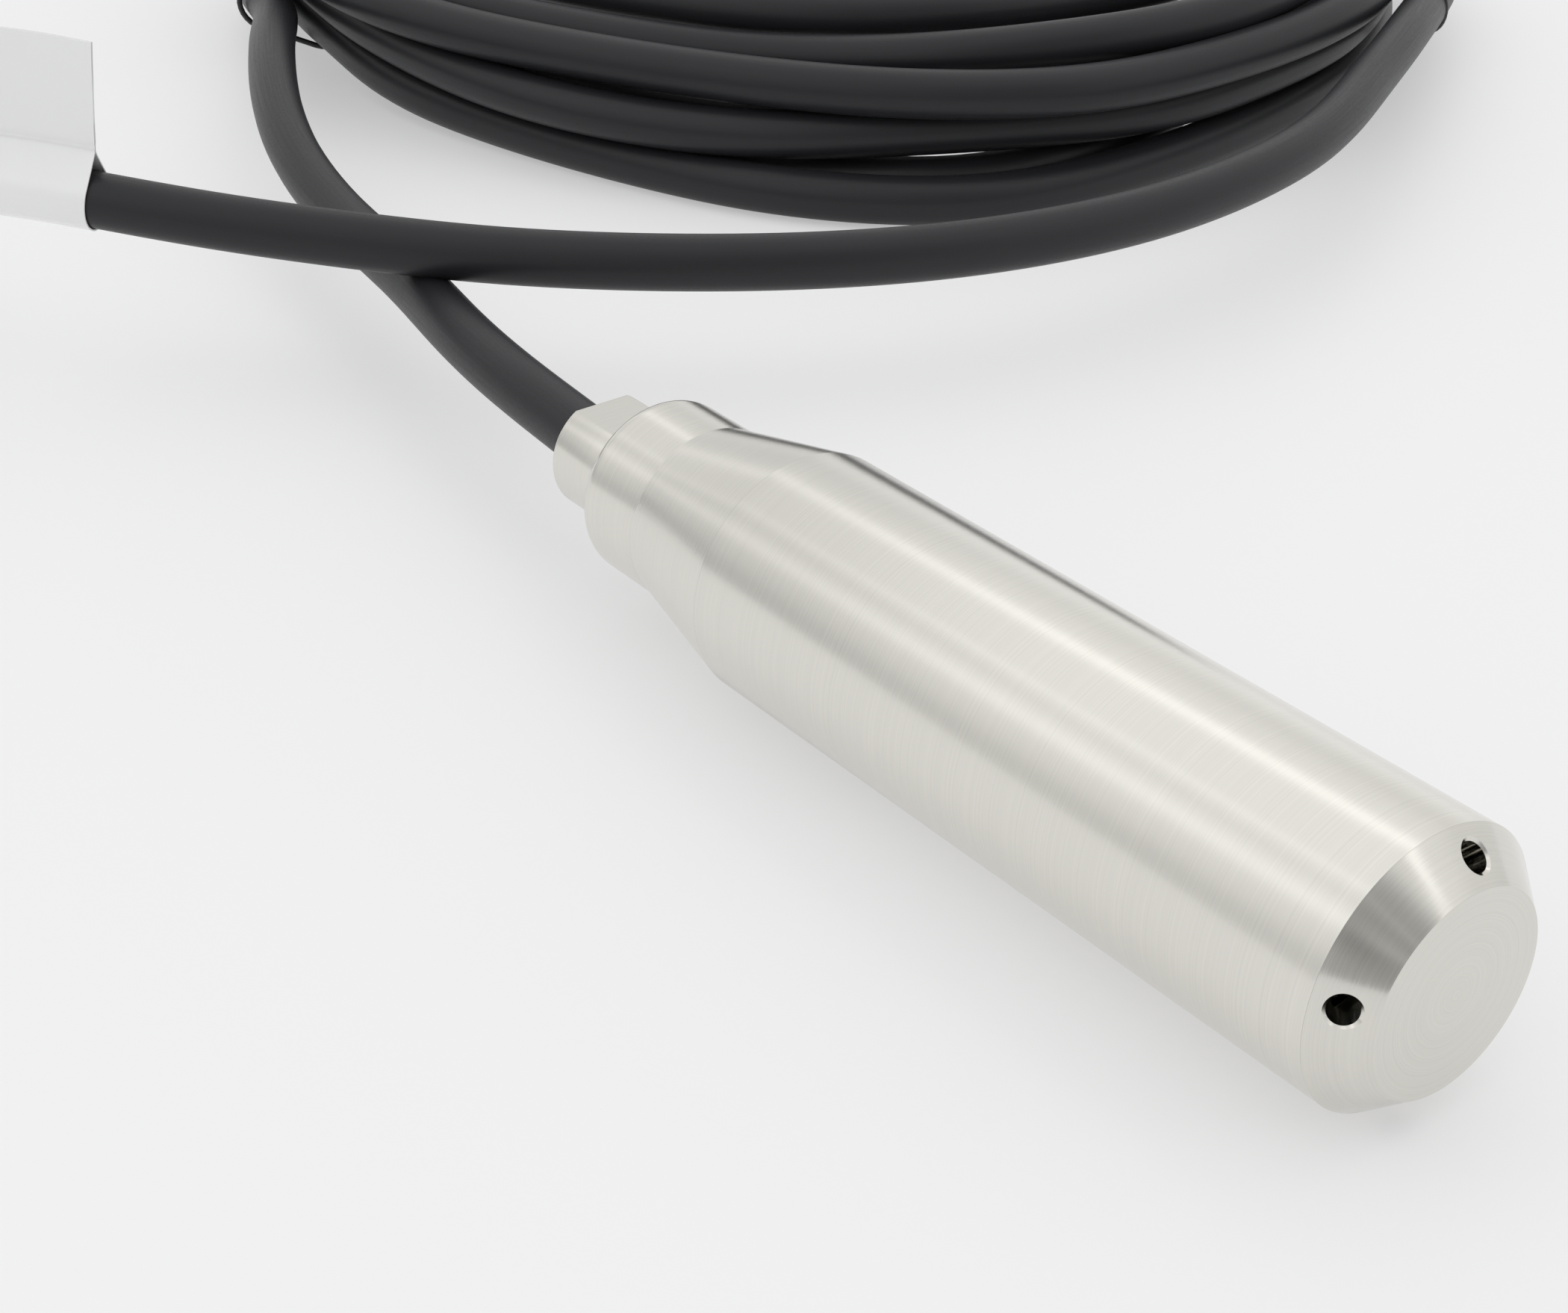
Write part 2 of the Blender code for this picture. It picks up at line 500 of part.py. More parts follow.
inner_verts = [bm.verts.new(base + p) for p in hole_points]
edges = [bm.edges.new((v[i], v[(i + 1) % len(v)])) for v in (outer_verts, inner_verts) for i in range(len(v))]
bmesh.ops.triangle_fill(bm, edges=edges, use_beauty=True)
extruded = bmesh.ops.extrude_face_region(bm, geom=bm.faces[:])
bmesh.ops.translate(bm, vec=LABEL_ALONG * LABEL_LENGTH,
                    verts=[g for g in extruded["geom"] if isinstance(g, bmesh.types.BMVert)])
finish("cable_label", bm, base, ((0.85, 0.85, 0.86), 0.0, 0.25))

# Stripped cores and the vent tube at the free end.
END = Vector((-229, -82, CABLE_R))
heading = Vector((-13, -6, 0)).normalized()
aside = Vector((-heading.y, heading.x, 0))
CORES = (("core_wire_red", 1.7, 1.0, 9.0, ((0.6, 0.05, 0.04), 0.0, 0.45), CORE_R),
         ("core_wire_black", -1.7, 1.0, -6.5, ((0.02, 0.02, 0.02), 0.0, 0.45), CORE_R),
         ("core_wire_shield", 0.0, 2.2, 1.5, ((0.7, 0.68, 0.6), 0.0, 0.45), CORE_R),
         ("vent_tube_end", 0.0, -1.6, -1.2, ((0.8, 0.8, 0.78), 0.0, 0.4), VENT_R))
for name, y, lift, spread, look, radius in CORES:
    foot = END + heading * GAP + aside * y + Vector((0, 0, lift))
    length = 16 if radius == VENT_R else 24
    low = radius + 0.05
    route = [foot, foot + heading * 4, END + heading * (length * 0.6) + aside * (y + spread * 0.5),
             END + heading * length + aside * (y + spread)]
    route[2].z = (foot.z + low) / 2 if radius == CORE_R else low
    route[3].z = low
    strand(name, smooth(route, 3), radius, look, 2)
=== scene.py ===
# %% [markdown]
# # A submersible level transmitter
# A turned stainless probe is lowered into a tank on its own cable and reads the depth of the liquid
# from its pressure. It lies here on a white table with its cable coiled behind it.
# The solids come ready made from the imported part. This lesson dresses them: every visible surface is
# worked out with numpy, and every finish is written as a small tree of shader nodes.
# Lengths are in millimetres until the moment they go into a mesh.

# %% The imported part, and sizes that several pieces share
import math

import bpy
import numpy as np
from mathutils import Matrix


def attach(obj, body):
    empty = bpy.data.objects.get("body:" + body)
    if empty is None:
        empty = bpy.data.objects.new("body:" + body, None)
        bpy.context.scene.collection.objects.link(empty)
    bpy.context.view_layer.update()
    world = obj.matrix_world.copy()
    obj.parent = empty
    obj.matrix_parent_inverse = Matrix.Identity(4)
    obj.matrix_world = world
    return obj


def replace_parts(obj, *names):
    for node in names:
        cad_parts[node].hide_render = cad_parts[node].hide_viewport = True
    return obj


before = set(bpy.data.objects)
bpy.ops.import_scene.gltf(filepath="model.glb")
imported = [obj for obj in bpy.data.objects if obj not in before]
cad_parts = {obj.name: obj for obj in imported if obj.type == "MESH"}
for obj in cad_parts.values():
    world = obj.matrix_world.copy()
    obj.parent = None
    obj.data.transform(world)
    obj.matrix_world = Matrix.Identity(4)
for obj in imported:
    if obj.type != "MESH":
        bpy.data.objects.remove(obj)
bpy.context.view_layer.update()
MM = 0.001
TURN = 2 * math.pi
# Sizes that several pieces share. Places along the probe are measured back from its nose.
NOSE_X, AXIS = 63.25, 14.0
BODY_R, FACE_R, NECK_R, GLAND_R = 14.0, 10.2, 10.5, 7.0
CABLE_R, WIRE_R = 3.75, 0.48

# %% [markdown]
# ## The camera
# The photo was taken from above the nose, looking along the probe towards its tail. A camera that is
# solved from measured points keeps the perspective of the real one, so every shape can be compared.

# %% Camera
view_data = bpy.data.cameras.new("camera")
view_data.lens, view_data.sensor_width = 59.733, 36.0
YAW, PITCH = 142.64126, 31.18413
view_data.clip_start, view_data.clip_end = 0.01, 20.0
camera = bpy.data.objects.new("camera", view_data)
camera.location = (0.16461, -0.14758, 0.14979)
camera.rotation_euler = (math.radians(90 - PITCH), 0.0, math.radians(YAW - 90))
bpy.context.scene.collection.objects.link(camera)
bpy.context.scene.camera = camera
print("camera at", [round(v, 3) for v in camera.location])


# %% [markdown]
# ## Writing shader nodes as arithmetic
# A material is a tree of nodes. Wiring one by hand takes many lines, so a wrapped socket lets an
# expression such as `1 - mask * 0.5` add its Math nodes by itself, and one method adds any other node.

# %% Sockets that can be added, subtracted and multiplied
class Value:
    """An output socket of a finish. Arithmetic on it adds Math nodes."""

    def __init__(self, finish, socket):
        self.finish, self.socket = finish, socket

    def math(self, operation, first, *others):
        inputs = dict(enumerate((first, *others)))
        return self.finish.node("Math", {"operation": operation}, inputs)

    def __add__(self, other):
        return self.math("ADD", self, other)

    def __sub__(self, other):
        return self.math("SUBTRACT", self, other)

    def __rsub__(self, other):
        return self.math("SUBTRACT", other, self)

    def __mul__(self, other):
        return self.math("MULTIPLY", self, other)

    def __truediv__(self, other):
        return self.math("DIVIDE", self, other)

    def __pow__(self, other):
        return self.math("POWER", self, other)

    def __gt__(self, other):
        return self.math("GREATER_THAN", self, other)

    def __lt__(self, other):
        return self.math("LESS_THAN", self, other)

    __radd__, __rmul__ = __add__, __mul__

    def sine(self):
        return self.math("SINE", self)

    def above(self, other):
        return self.math("MAXIMUM", self, other)

    def step(self, low, high, out_low=0.0, out_high=1.0):
        """Rises smoothly from out_low to out_high as the value goes from low to high."""
        return self.finish.node("MapRange", {"interpolation_type": "SMOOTHSTEP"},
                                {0: self, 1: low, 2: high, 3: out_low, 4: out_high})


# %% A finish: one material and the methods that write it
class Finish:
    """A Principled material. Its methods add nodes, and set() feeds the surface."""

    def __init__(self, name, **constants):
        self.material = bpy.data.materials.new(name)
        self.material.use_nodes = True
        self.tree = self.material.node_tree
        self.surface = self.tree.nodes["Principled BSDF"]
        self.set(**constants)

    def feed(self, socket, value):
        if isinstance(value, Value):
            self.tree.links.new(value.socket, socket)
        elif isinstance(value, tuple) and len(value) == 3 and socket.type == "RGBA":
            socket.default_value = (*value, 1.0)
        else:
            socket.default_value = value

    def node(self, kind, settings=None, inputs=None, out=0):
        """Adds a node of any kind, with its settings first and then its sockets' values or links."""
        made = self.tree.nodes.new("ShaderNode" + kind)
        for key, value in (settings or {}).items():
            setattr(made, key, value)
        for key, value in (inputs or {}).items():
            self.feed(made.inputs[key], value)
        return Value(self, made.outputs[out])

    def set(self, **values):
        """Feeds the surface's sockets: base_color stands for Base Color, and so on."""
        for name, value in values.items():
            self.feed(self.surface.inputs[name.replace("_", " ").title().replace("Ior", "IOR")], value)
        return self

    def place(self):
        """The point on the object, in metres."""
        return self.node("TexCoord", out="Object")

    def across(self):
        """The piece's own map: round the section and along the path."""
        return self.node("UVMap", {"uv_map": "skin"})

    def parts(self, point):
        """A point's three numbers."""
        split = self.node("SeparateXYZ", None, {0: point})
        return [Value(self, split.socket.node.outputs[i]) for i in range(3)]

    def stretch(self, point, x, y, z):
        """A point with each of its numbers multiplied."""
        return self.node("VectorMath", {"operation": "MULTIPLY"}, {0: point, 1: (x, y, z)})

    def grain(self, point, scale, detail=2.0, roughness=0.5):
        """Noise from 0 to 1 about a point."""
        return self.node("TexNoise", None, {"Vector": point, "Scale": scale, "Detail": detail,
                                            "Roughness": roughness})

    def mixed(self, share, first, second):
        """Goes from the first colour to the second as share goes from 0 to 1."""
        mix = self.tree.nodes.new("ShaderNodeMix")
        mix.data_type = "RGBA"
        for socket, value in ((mix.inputs[0], share), (mix.inputs[6], first), (mix.inputs[7], second)):
            self.feed(socket, value)
        return Value(self, mix.outputs[2])

    def bumps(self, height, strength, distance=0.0001):
        """Feeds the normal with a height, whose full range stands for the distance in metres."""
        bump = self.node("Bump", None, {"Height": height, "Strength": strength, "Distance": distance})
        return self.set(normal=bump)


print("finishes can be written")

# %% [markdown]
# ## Surfaces from arrays
# A surface is a grid of points with a rule for how neighbours join. The same two helpers serve every
# piece here: one lists a grid's faces, the other puts points and faces into a mesh that rides on a body.

# %% Grid faces and new pieces
def grid_faces(rows, columns, loop_rows=False, loop_columns=False):
    """Four corners of each cell of a grid of points, whose last row or column may join its first."""
    i, j = np.meshgrid(np.arange(rows - (not loop_rows)), np.arange(columns - (not loop_columns)),
                       indexing="ij")
    below, right = (i + 1) % rows, (j + 1) % columns
    return np.stack([i * columns + j, below * columns + j, below * columns + right, i * columns + right],
                    -1).reshape(-1, 4)


def new_piece(name, points, faces, finish, body="probe", skin=None, sharp=32.0):
    """A mesh piece in place. skin gives each point its place on the piece's own map."""
    mesh = bpy.data.meshes.new(name)
    mesh.from_pydata((np.asarray(points, float) * MM).tolist(), [], [list(map(int, f)) for f in faces])
    mesh.validate()
    if skin is not None:
        corners = np.zeros(len(mesh.loops), np.int32)
        mesh.loops.foreach_get("vertex_index", corners)
        mesh.uv_layers.new(name="skin").data.foreach_set("uv", np.asarray(skin, float)[corners].ravel())
    mesh.materials.append(finish.material)
    mesh.shade_smooth()
    mesh.set_sharp_from_angle(angle=math.radians(sharp))
    piece = bpy.data.objects.new(name, mesh)
    bpy.context.scene.collection.objects.link(piece)
    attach(piece, body)
    return piece


def shown_size(piece):
    """A piece's extent in millimetres, for the printout."""
    points = np.zeros(len(piece.data.vertices) * 3)
    piece.data.vertices.foreach_get("co", points)
    points = points.reshape(-1, 3)
    return (np.ptp(points, axis=0) / MM).round(1).tolist()


print("one cell's corners:", grid_faces(2, 2).tolist())

# %% [markdown]
# ## The finishes
# The probe is turned stainless steel. The cable's jacket is matt black plastic.

# %% Stainless steel, turned
def turned_steel(name, grooves="x", smooth=0.16, tone=1.0):
    """Pale warm steel with fine rings left by the turning tool."""
    finish = Finish(name, metallic=1.0)
    x, y, z = finish.parts(finish.place())
    up = z - AXIS * MM
    along = x if grooves == "x" else (y * y + up * up) ** 0.5
    rings = finish.grain(finish.node("CombineXYZ", None, {0: along * 3800.0}), 1.0, 4.0, 0.75)
    broad = finish.grain(finish.node("CombineXYZ", None, {0: along * 500.0}), 1.0, 2.0)
    dark, pale = (tuple(tone * c for c in colour) for colour in ((0.715, 0.70, 0.65), (0.81, 0.795, 0.735)))
    finish.set(base_color=finish.mixed((rings * 0.85 + broad * 0.15).step(0.2, 0.8), dark, pale),
               roughness=rings.step(0.2, 0.8, smooth, smooth + 0.06))
    return finish.bumps(rings, 0.5, 0.00002)


steel = turned_steel("turned_steel")
faced_steel = turned_steel("faced_steel", "radius")
cap_steel = turned_steel("cap_steel", "radius", 0.11, 0.95)


# %% Cable jacket
def jacket(name):
    """Matt black jacket, with a fine grain and faint lines drawn along it."""
    finish = Finish(name, specular_ior_level=0.34)
    skin = finish.across()
    lines = finish.grain(finish.stretch(skin, 60.0, 1.2, 0.0), 1.0, 3.0)
    grain = finish.grain(finish.place(), 2600.0, 3.0, 0.6)
    cloud = finish.grain(finish.place(), 60.0, 2.0)
    shade = finish.mixed(cloud, (0.017, 0.017, 0.020), (0.022, 0.022, 0.025))
    finish.set(base_color=shade, roughness=(lines * 0.5 + grain * 0.5).step(0.3, 0.7, 0.36, 0.48))
    return finish.bumps(grain + lines * 0.6, 0.25, 0.00004)


black_jacket = jacket("cable_jacket")


# %% Plastic, rubber, plated metal and printed film
def moulded(name, colour, roughness=0.38, bump=0.15, scale=900.0):
    """A moulded or drawn material: its colour drifts by a tenth, and its surface has a fine grain."""
    finish = Finish(name)
    cloud, fine = finish.grain(finish.place(), scale * 0.12), finish.grain(finish.place(), scale, 3.0)
    darker = tuple(0.88 * c for c in colour)
    finish.set(base_color=finish.mixed(cloud, darker, colour),
               roughness=fine.step(0.3, 0.7, roughness - 0.05, roughness + 0.06))
    return finish.bumps(fine, bump, 0.00003)


def plated(name, colour, roughness=0.24):
    """A bright metal skin, faintly cloudy."""
    finish = Finish(name, metallic=1.0)
    cloud = finish.grain(finish.place(), 700.0, 4.0, 0.6)
    finish.set(base_color=finish.mixed(cloud, tuple(0.9 * c for c in colour), colour),
               roughness=cloud.step(0.3, 0.7, roughness - 0.06, roughness + 0.08))
    return finish.bumps(cloud, 0.1, 0.00002)


def printed_board(name):
    """Solder mask over copper tracks: tracks run along the board where sin(y) is high, and some across."""
    finish = Finish(name, roughness=0.32)
    x, y, z = finish.parts(finish.place())
    choice = finish.grain(finish.place(), 90.0, 1.0)
    along, across = (y * 4200.0).sine() > 0.45, (x * 3100.0).sine() > 0.6
    track = along * (choice > 0.48) + across * (choice < 0.42)
    finish.set(base_color=finish.mixed(track, (0.010, 0.085, 0.035), (0.018, 0.170, 0.065)))
    return finish.bumps(track, 0.3, 0.00004)


def bare_film(name):
    """Glossy white label film, very slightly wavy."""
    finish = Finish(name, coat_weight=1.0)
    wave = finish.grain(finish.place(), 55.0, 1.0)
    white = finish.mixed(wave, (0.93, 0.935, 0.935), (0.96, 0.96, 0.965))
    finish.set(base_color=white, roughness=wave * 0.1 + 0.10)
    return finish.bumps(wave, 0.35, 0.0004)


rubber = moulded("seal_rubber", (0.022, 0.022, 0.023), 0.6, 0.4)
chip_black = moulded("chip_black", (0.026, 0.026, 0.029), 0.42, 0.5, 3000.0)
liner = moulded("liner_plastic", (0.74, 0.72, 0.64), 0.4)
trimmer_blue = moulded("trimmer_blue", (0.05, 0.17, 0.52), 0.34)
terminal_green = moulded("terminal_green", (0.06, 0.34, 0.13), 0.4)
capacitor_grey = moulded("capacitor_sleeve", (0.12, 0.12, 0.13), 0.33)
vent_plastic = moulded("vent_plastic", (0.80, 0.80, 0.77), 0.3)
tints = {"red": (0.62, 0.05, 0.04), "black": (0.02, 0.02, 0.021), "blue": (0.05, 0.2, 0.52),
         "green": (0.05, 0.32, 0.1), "pale": (0.76, 0.73, 0.62)}
insulation = {colour: moulded(colour + "_insulation", tint) for colour, tint in tints.items()}
gold = plated("gold_plate", (0.86, 0.64, 0.30))
foil = plated("bright_foil", (0.74, 0.74, 0.72), 0.2)
tinned = plated("tinned_copper", (0.72, 0.70, 0.66), 0.3)
board_green, label_film = printed_board("printed_board"), bare_film("label_film")
black_wire = moulded("tie_wire", (0.018, 0.018, 0.019), 0.4)

# %% [markdown]
# ## Turned surfaces
# Every steel part here came off a lathe, so its surface is a profile carried round the probe's axis.
# Real edges are never perfectly sharp: each corner of a profile gives way to a small curve, which is
# what catches the light along an edge.

# %% Softened profiles, and turning them
AROUND = 192


def softened(profile, ease=0.12, closed=True, bend=4):
    """Replaces each corner P by the parabola (1-s)^2 P0 + 2 s (1-s) P + s^2 P1, whose ends P0 and P1 lie
    on the corner's two sides, ease away from it. Each row of the profile is back, radius."""
    p = np.asarray(profile, float)
    before, after = np.roll(p, 1, axis=0), np.roll(p, -1, axis=0)
    reach = [np.linalg.norm(q - p, axis=1)[:, None] for q in (before, after)]
    ease = np.minimum(np.broadcast_to(np.asarray(ease, float), len(p))[:, None],
                      0.45 * np.minimum(*reach))
    start, stop = p + (before - p) / reach[0] * ease, p + (after - p) / reach[1] * ease
    s = np.linspace(0, 1, bend + 1)[None, :, None]
    curve = (1 - s) ** 2 * start[:, None] + 2 * s * (1 - s) * p[:, None] + s ** 2 * stop[:, None]
    if closed:
        return curve.reshape(-1, 2)
    return np.vstack([p[:1], curve[1:-1].reshape(-1, 2), p[-1:]])


def facing_out(points, *sets):
    """Turns all faces over if the volume they enclose, the sum over corner fans of a x b . c, is
    negative. Each set holds faces with the same number of corners."""
    volume = 0.0
    for faces in sets:
        for k in range(1, faces.shape[1] - 1):
            a, b, c = points[faces[:, 0]], points[faces[:, k]], points[faces[:, k + 1]]
            volume += (np.cross(a, b) * c).sum()
    return [face for faces in sets for face in (faces if volume > 0 else faces[:, ::-1]).tolist()]


def end_fans(first_ring, last_ring, first_tip, last_tip):
    """Triangles from a ring's points to its middle, at both ends of a grid of rings."""
    return np.vstack([np.stack([np.full(len(first_ring), first_tip), first_ring, np.roll(first_ring, -1)], 1),
                      np.stack([np.full(len(last_ring), last_tip), np.roll(last_ring, -1), last_ring], 1)])


def lathed(profile, around=AROUND, relief=None, solid=False):
    """Point (i, t): back(i), and radius(i) turned by t: x = nose - back, y = r sin t, z = axis + r cos t.
    relief(back, radius, t) may change the radius, as for a thread. The profile closes on itself, or, when
    solid, its two ends are closed by discs."""
    profile = np.asarray(profile, float)
    t = TURN * np.arange(around) / around
    back, radius = (np.repeat(profile[:, k:k + 1], around, 1) for k in (0, 1))
    if relief is not None:
        radius = relief(back, radius, t[None, :])
    points = np.stack([NOSE_X - back, radius * np.sin(t), AXIS + radius * np.cos(t)], -1).reshape(-1, 3)
    faces = [grid_faces(len(profile), around, loop_rows=not solid, loop_columns=True)]
    if solid:
        count, ring = len(points), np.arange(around)
        points = np.vstack([points, [(NOSE_X - profile[k, 0], 0, AXIS) for k in (0, -1)]])
        faces.append(end_fans(ring, count - around + ring, count, count + 1))
    return points, facing_out(points, *faces)


print("softened corner:", softened([(0, 0), (2, 0), (2, 2), (0, 2)], 0.5, bend=2)[:3].round(2).tolist())

# %% [markdown]
# ## Cutting
# Holes and wrench flats are milled into a turned blank. A Boolean modifier does the same with a mesh in
# the cutter's shape. Its result is then written into the piece, and the cutter is thrown away.

# %% Drills and mills
def drill(profile, place, around=64):
    """A turned cutter: rows of radius, height about its own upright axis, taken to its place."""
    profile = np.asarray(profile, float)
    t = TURN * np.arange(around) / around
    rings = np.stack([profile[:, :1] * np.cos(t), profile[:, :1] * np.sin(t),
                      np.repeat(profile[:, 1:], around, 1)], -1).reshape(-1, 3)
    tips = np.array([(0, 0, profile[0, 1]), (0, 0, profile[-1, 1])])
    points = np.vstack([rings, tips]) @ np.asarray(place)[:3, :3].T + np.asarray(place)[:3, 3]
    ring, count = np.arange(around), len(rings)
    faces = facing_out(points, grid_faces(len(profile), around, loop_columns=True),
                       end_fans(ring, count - around + ring, count, count + 1))
    mesh = bpy.data.meshes.new("cutter")
    mesh.from_pydata((points * MM).tolist(), [], faces)
    cutter = bpy.data.objects.new("cutter", mesh)
    bpy.context.scene.collection.objects.link(cutter)
    return cutter


def milled(piece, cutters, sharp=24.0):
    """Takes the cutters out of a piece for good."""
    for cutter in cutters:
        modifier = piece.modifiers.new("cut", "BOOLEAN")
        modifier.operation, modifier.solver, modifier.object = "DIFFERENCE", "EXACT", cutter
    shown = piece.evaluated_get(bpy.context.evaluated_depsgraph_get())
    finished = bpy.data.meshes.new_from_object(shown)
    piece.modifiers.clear()
    piece.data = finished
    finished.shade_smooth()
    finished.set_sharp_from_angle(angle=math.radians(sharp))
    for cutter in cutters:
        bpy.data.objects.remove(cutter)
    return piece

# %% [markdown]
# ## Nose cap
# The cap keeps the probe's pressure diaphragm safe and unscrews for cleaning. Four countersunk holes,
# each drilled square to the bevel, let the liquid in. Its spigot carries a 1.5 mm thread and an O-ring.

# %% Nose cap
BEVEL, CAP_END = 4.3, 12.9
SPIGOT_R, SPIGOT_BORE, RING_R = 12.5, 10.0, 11.3
INLETS, INLET_TURN, INLET_R = 4, 77.5, 1.42


def threaded(first, last, depth=0.45, pitch=1.5):
    """The radius falls by a triangle wave of back / pitch - turn: one groove climbs round the spigot.
    The groove fades in and out over its last half millimetre."""
    def relief(back, radius, t):
        wave = np.abs(((back / pitch - t / TURN) % 1.0) * 2 - 1)
        fade = np.clip((back - first) / 0.5, 0, 1) * np.clip((last - back) / 0.5, 0, 1)
        return radius - depth * wave * fade * (np.abs(radius - SPIGOT_R) < 0.5)
    return relief


thread_rows = [(back, SPIGOT_R) for back in np.arange(5.2, 9.9, 0.15)]
outline = np.vstack([
    softened([(2.2, 1.0), (2.2, 9.2), (3.0, SPIGOT_BORE), (CAP_END, SPIGOT_BORE), (CAP_END, 11.9),
              (12.5, 12.3), (12.0, 12.3), (12.0, RING_R), (10.2, RING_R), (10.2, SPIGOT_R)], 0.08,
             closed=False),
    thread_rows[::-1],
    softened([(4.6, SPIGOT_R), (4.6, 12.1), (BEVEL, 12.1), (BEVEL, BODY_R), (0.0, FACE_R), (0.0, 1.0)],
             [0.1, 0.1, 0.1, 0.012, 0.05, 0.1], closed=False),
])
points, faces = lathed(outline, relief=threaded(5.0, 10.0), solid=True)
cap = new_piece("cap_body", points, faces, cap_steel, body="cap", sharp=24)
BEVEL_LEAN = math.atan2(BEVEL, BODY_R - FACE_R)


def on_bevel(turn):
    """The frame of a hole in the bevel: its own upright is square to the bevel, at a turn from the top."""
    lean = math.pi / 2 - BEVEL_LEAN
    tilt = np.array([[math.cos(lean), 0, math.sin(lean)], [0, 1, 0], [-math.sin(lean), 0, math.cos(lean)]])
    spin = np.array([[1, 0, 0], [0, math.cos(turn), -math.sin(turn)], [0, math.sin(turn), math.cos(turn)]])
    frame_of_hole = np.eye(4)
    frame_of_hole[:3, :3] = spin @ tilt
    frame_of_hole[:3, 3] = [NOSE_X, 0, AXIS] + spin @ [-BEVEL / 2, 0, (BODY_R + FACE_R) / 2]
    return frame_of_hole


hole = [(INLET_R, -5.6), (INLET_R, -0.30), (1.46, -0.26), (2.60, 0.88)]
turns = [math.radians(INLET_TURN + 360 / INLETS * k) for k in range(INLETS)]
cap = milled(cap, [drill(hole, on_bevel(turn)) for turn in turns])
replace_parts(cap, "nose_cap")
print("cap:", shown_size(cap), "faces", len(cap.data.polygons))

# %% [markdown]
# ## Housing tube
# The tube is one length of 28 mm bar, bored out. Its front edge meets the cap at the bevel's rim, so the
# joint disappears in that edge.

# %% Housing tube
TAPER_START, SEAM, SEAM_EDGE = 89.0, 0.01, 0.012
FRONT_END, REAR_END = BEVEL + SEAM, TAPER_START - SEAM
BORE_R, SEAT_R = 12.0, 9.8
housing = softened([(FRONT_END, 13.1), (FRONT_END, BODY_R), (REAR_END, BODY_R), (REAR_END, 12.3),
                    (88.4, BORE_R), (30.0, BORE_R), (30.0, 8.0), (28.0, 8.0), (28.0, SEAT_R), (17.0, SEAT_R),
                    (17.0, 12.8), (4.9, 12.8)], SEAM_EDGE)
points, faces = lathed(housing)
housing = new_piece("housing_body", points, faces, steel, sharp=24)
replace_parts(housing, "housing_tube")
print("housing:", shown_size(housing))

# %% [markdown]
# ## Tail
# A taper leads to a narrower neck whose rear edge is rounded, so that nothing catches when the probe is
# pulled up. The gland behind it squeezes the cable's seal and has two flats for a wrench.

# %% Tail adapter
TAPER_END, NECK_END, NECK_ROUND = 105.6, 115.7, 1.5
SOCKET_R, STUB_R = 9.0, 11.7
round_edge = [(NECK_END - NECK_ROUND * (1 - math.sin(a)), NECK_R - NECK_ROUND * (1 - math.cos(a)))
              for a in np.linspace(0, math.pi / 2, 9)]
tail = np.vstack([
    softened([(98.0, 5.2), (96.0, SOCKET_R), (81.0, SOCKET_R), (81.0, 11.3), (81.4, STUB_R), (84.0, STUB_R),
              (84.0, 10.3), (86.0, 10.3), (86.0, STUB_R), (TAPER_START, STUB_R), (TAPER_START, BODY_R),
              (TAPER_END, NECK_R), (114.0, NECK_R)], SEAM_EDGE, closed=False),
    round_edge,
    softened([(NECK_END, 8.0), (NECK_END, 7.0), (100.0, 7.0), (100.0, 5.2)], 0.1, closed=False),
])
points, faces = lathed(tail)
tail = new_piece("tail_body", points, faces, steel, sharp=24)
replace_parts(tail, "tail_adapter")

# %% Gland with its wrench flats
GLAND_END, FLAT_REACH, MILL_R = 126.5, 6.0, 8.0
gland = softened([(110.2, 4.05), (110.2, 6.7), (116.0, 6.7), (116.0, GLAND_R), (GLAND_END, GLAND_R),
                  (GLAND_END, 4.45), (126.1, 4.05)], 0.12)
points, faces = lathed(gland, around=256)
gland = new_piece("gland_body", points, faces, steel, sharp=24)
mill = [(MILL_R, 0.0), (MILL_R, 4.0)]
mills = []
for side in (1, -1):
    place = np.diag([1.0, side, side, 1.0])
    place[:3, 3] = (NOSE_X - GLAND_END + 1.0, 0, AXIS + side * FLAT_REACH)
    mills.append(drill(mill, place, around=128))
gland = milled(gland, mills)
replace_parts(gland, "gland_nut")
print("gland:", shown_size(gland), "faces", len(gland.data.polygons))

# %% [markdown]
# ## The cable's route
# Five metres of cable leave the gland, dip to the table, and wind into a coil that two wire ties hold.
# Its loose end sweeps back over the table in front of the coil. A smooth curve goes through measured
# points. Behind the coil, where nothing was measured, the turns are only sketched in, and the front
# strands that others hide are held a little less firmly. A settling step then pushes the turns apart
# until they lie about a cable's thickness from each other.

# %% Rounded curve through points
def through(knots, spacing):
    """Catmull-Rom curve: between two points it is the cubic whose slope at each end is half the step
    between that point's neighbours. Returned at even spacing along its length."""
    knots = np.asarray(knots, float)
    p = np.vstack([2 * knots[0] - knots[1], knots, 2 * knots[-1] - knots[-2]])
    a, b, c, d = (p[i:len(p) - 3 + i, None, :] for i in range(4))
    t = np.linspace(0, 1, 17)[None, :-1, None]
    dense = 0.5 * (2 * b + (c - a) * t + (2 * a - 5 * b + 4 * c - d) * t ** 2
                   + (3 * b - a - 3 * c + d) * t ** 3)
    dense = np.vstack([dense.reshape(-1, 3), knots[-1:]])
    run = np.r_[0, np.cumsum(np.linalg.norm(np.diff(dense, axis=0), axis=1))]
    even = np.linspace(0, run[-1], round(run[-1] / spacing) + 1)
    return np.stack([np.interp(even, run, dense[:, i]) for i in range(3)], 1)


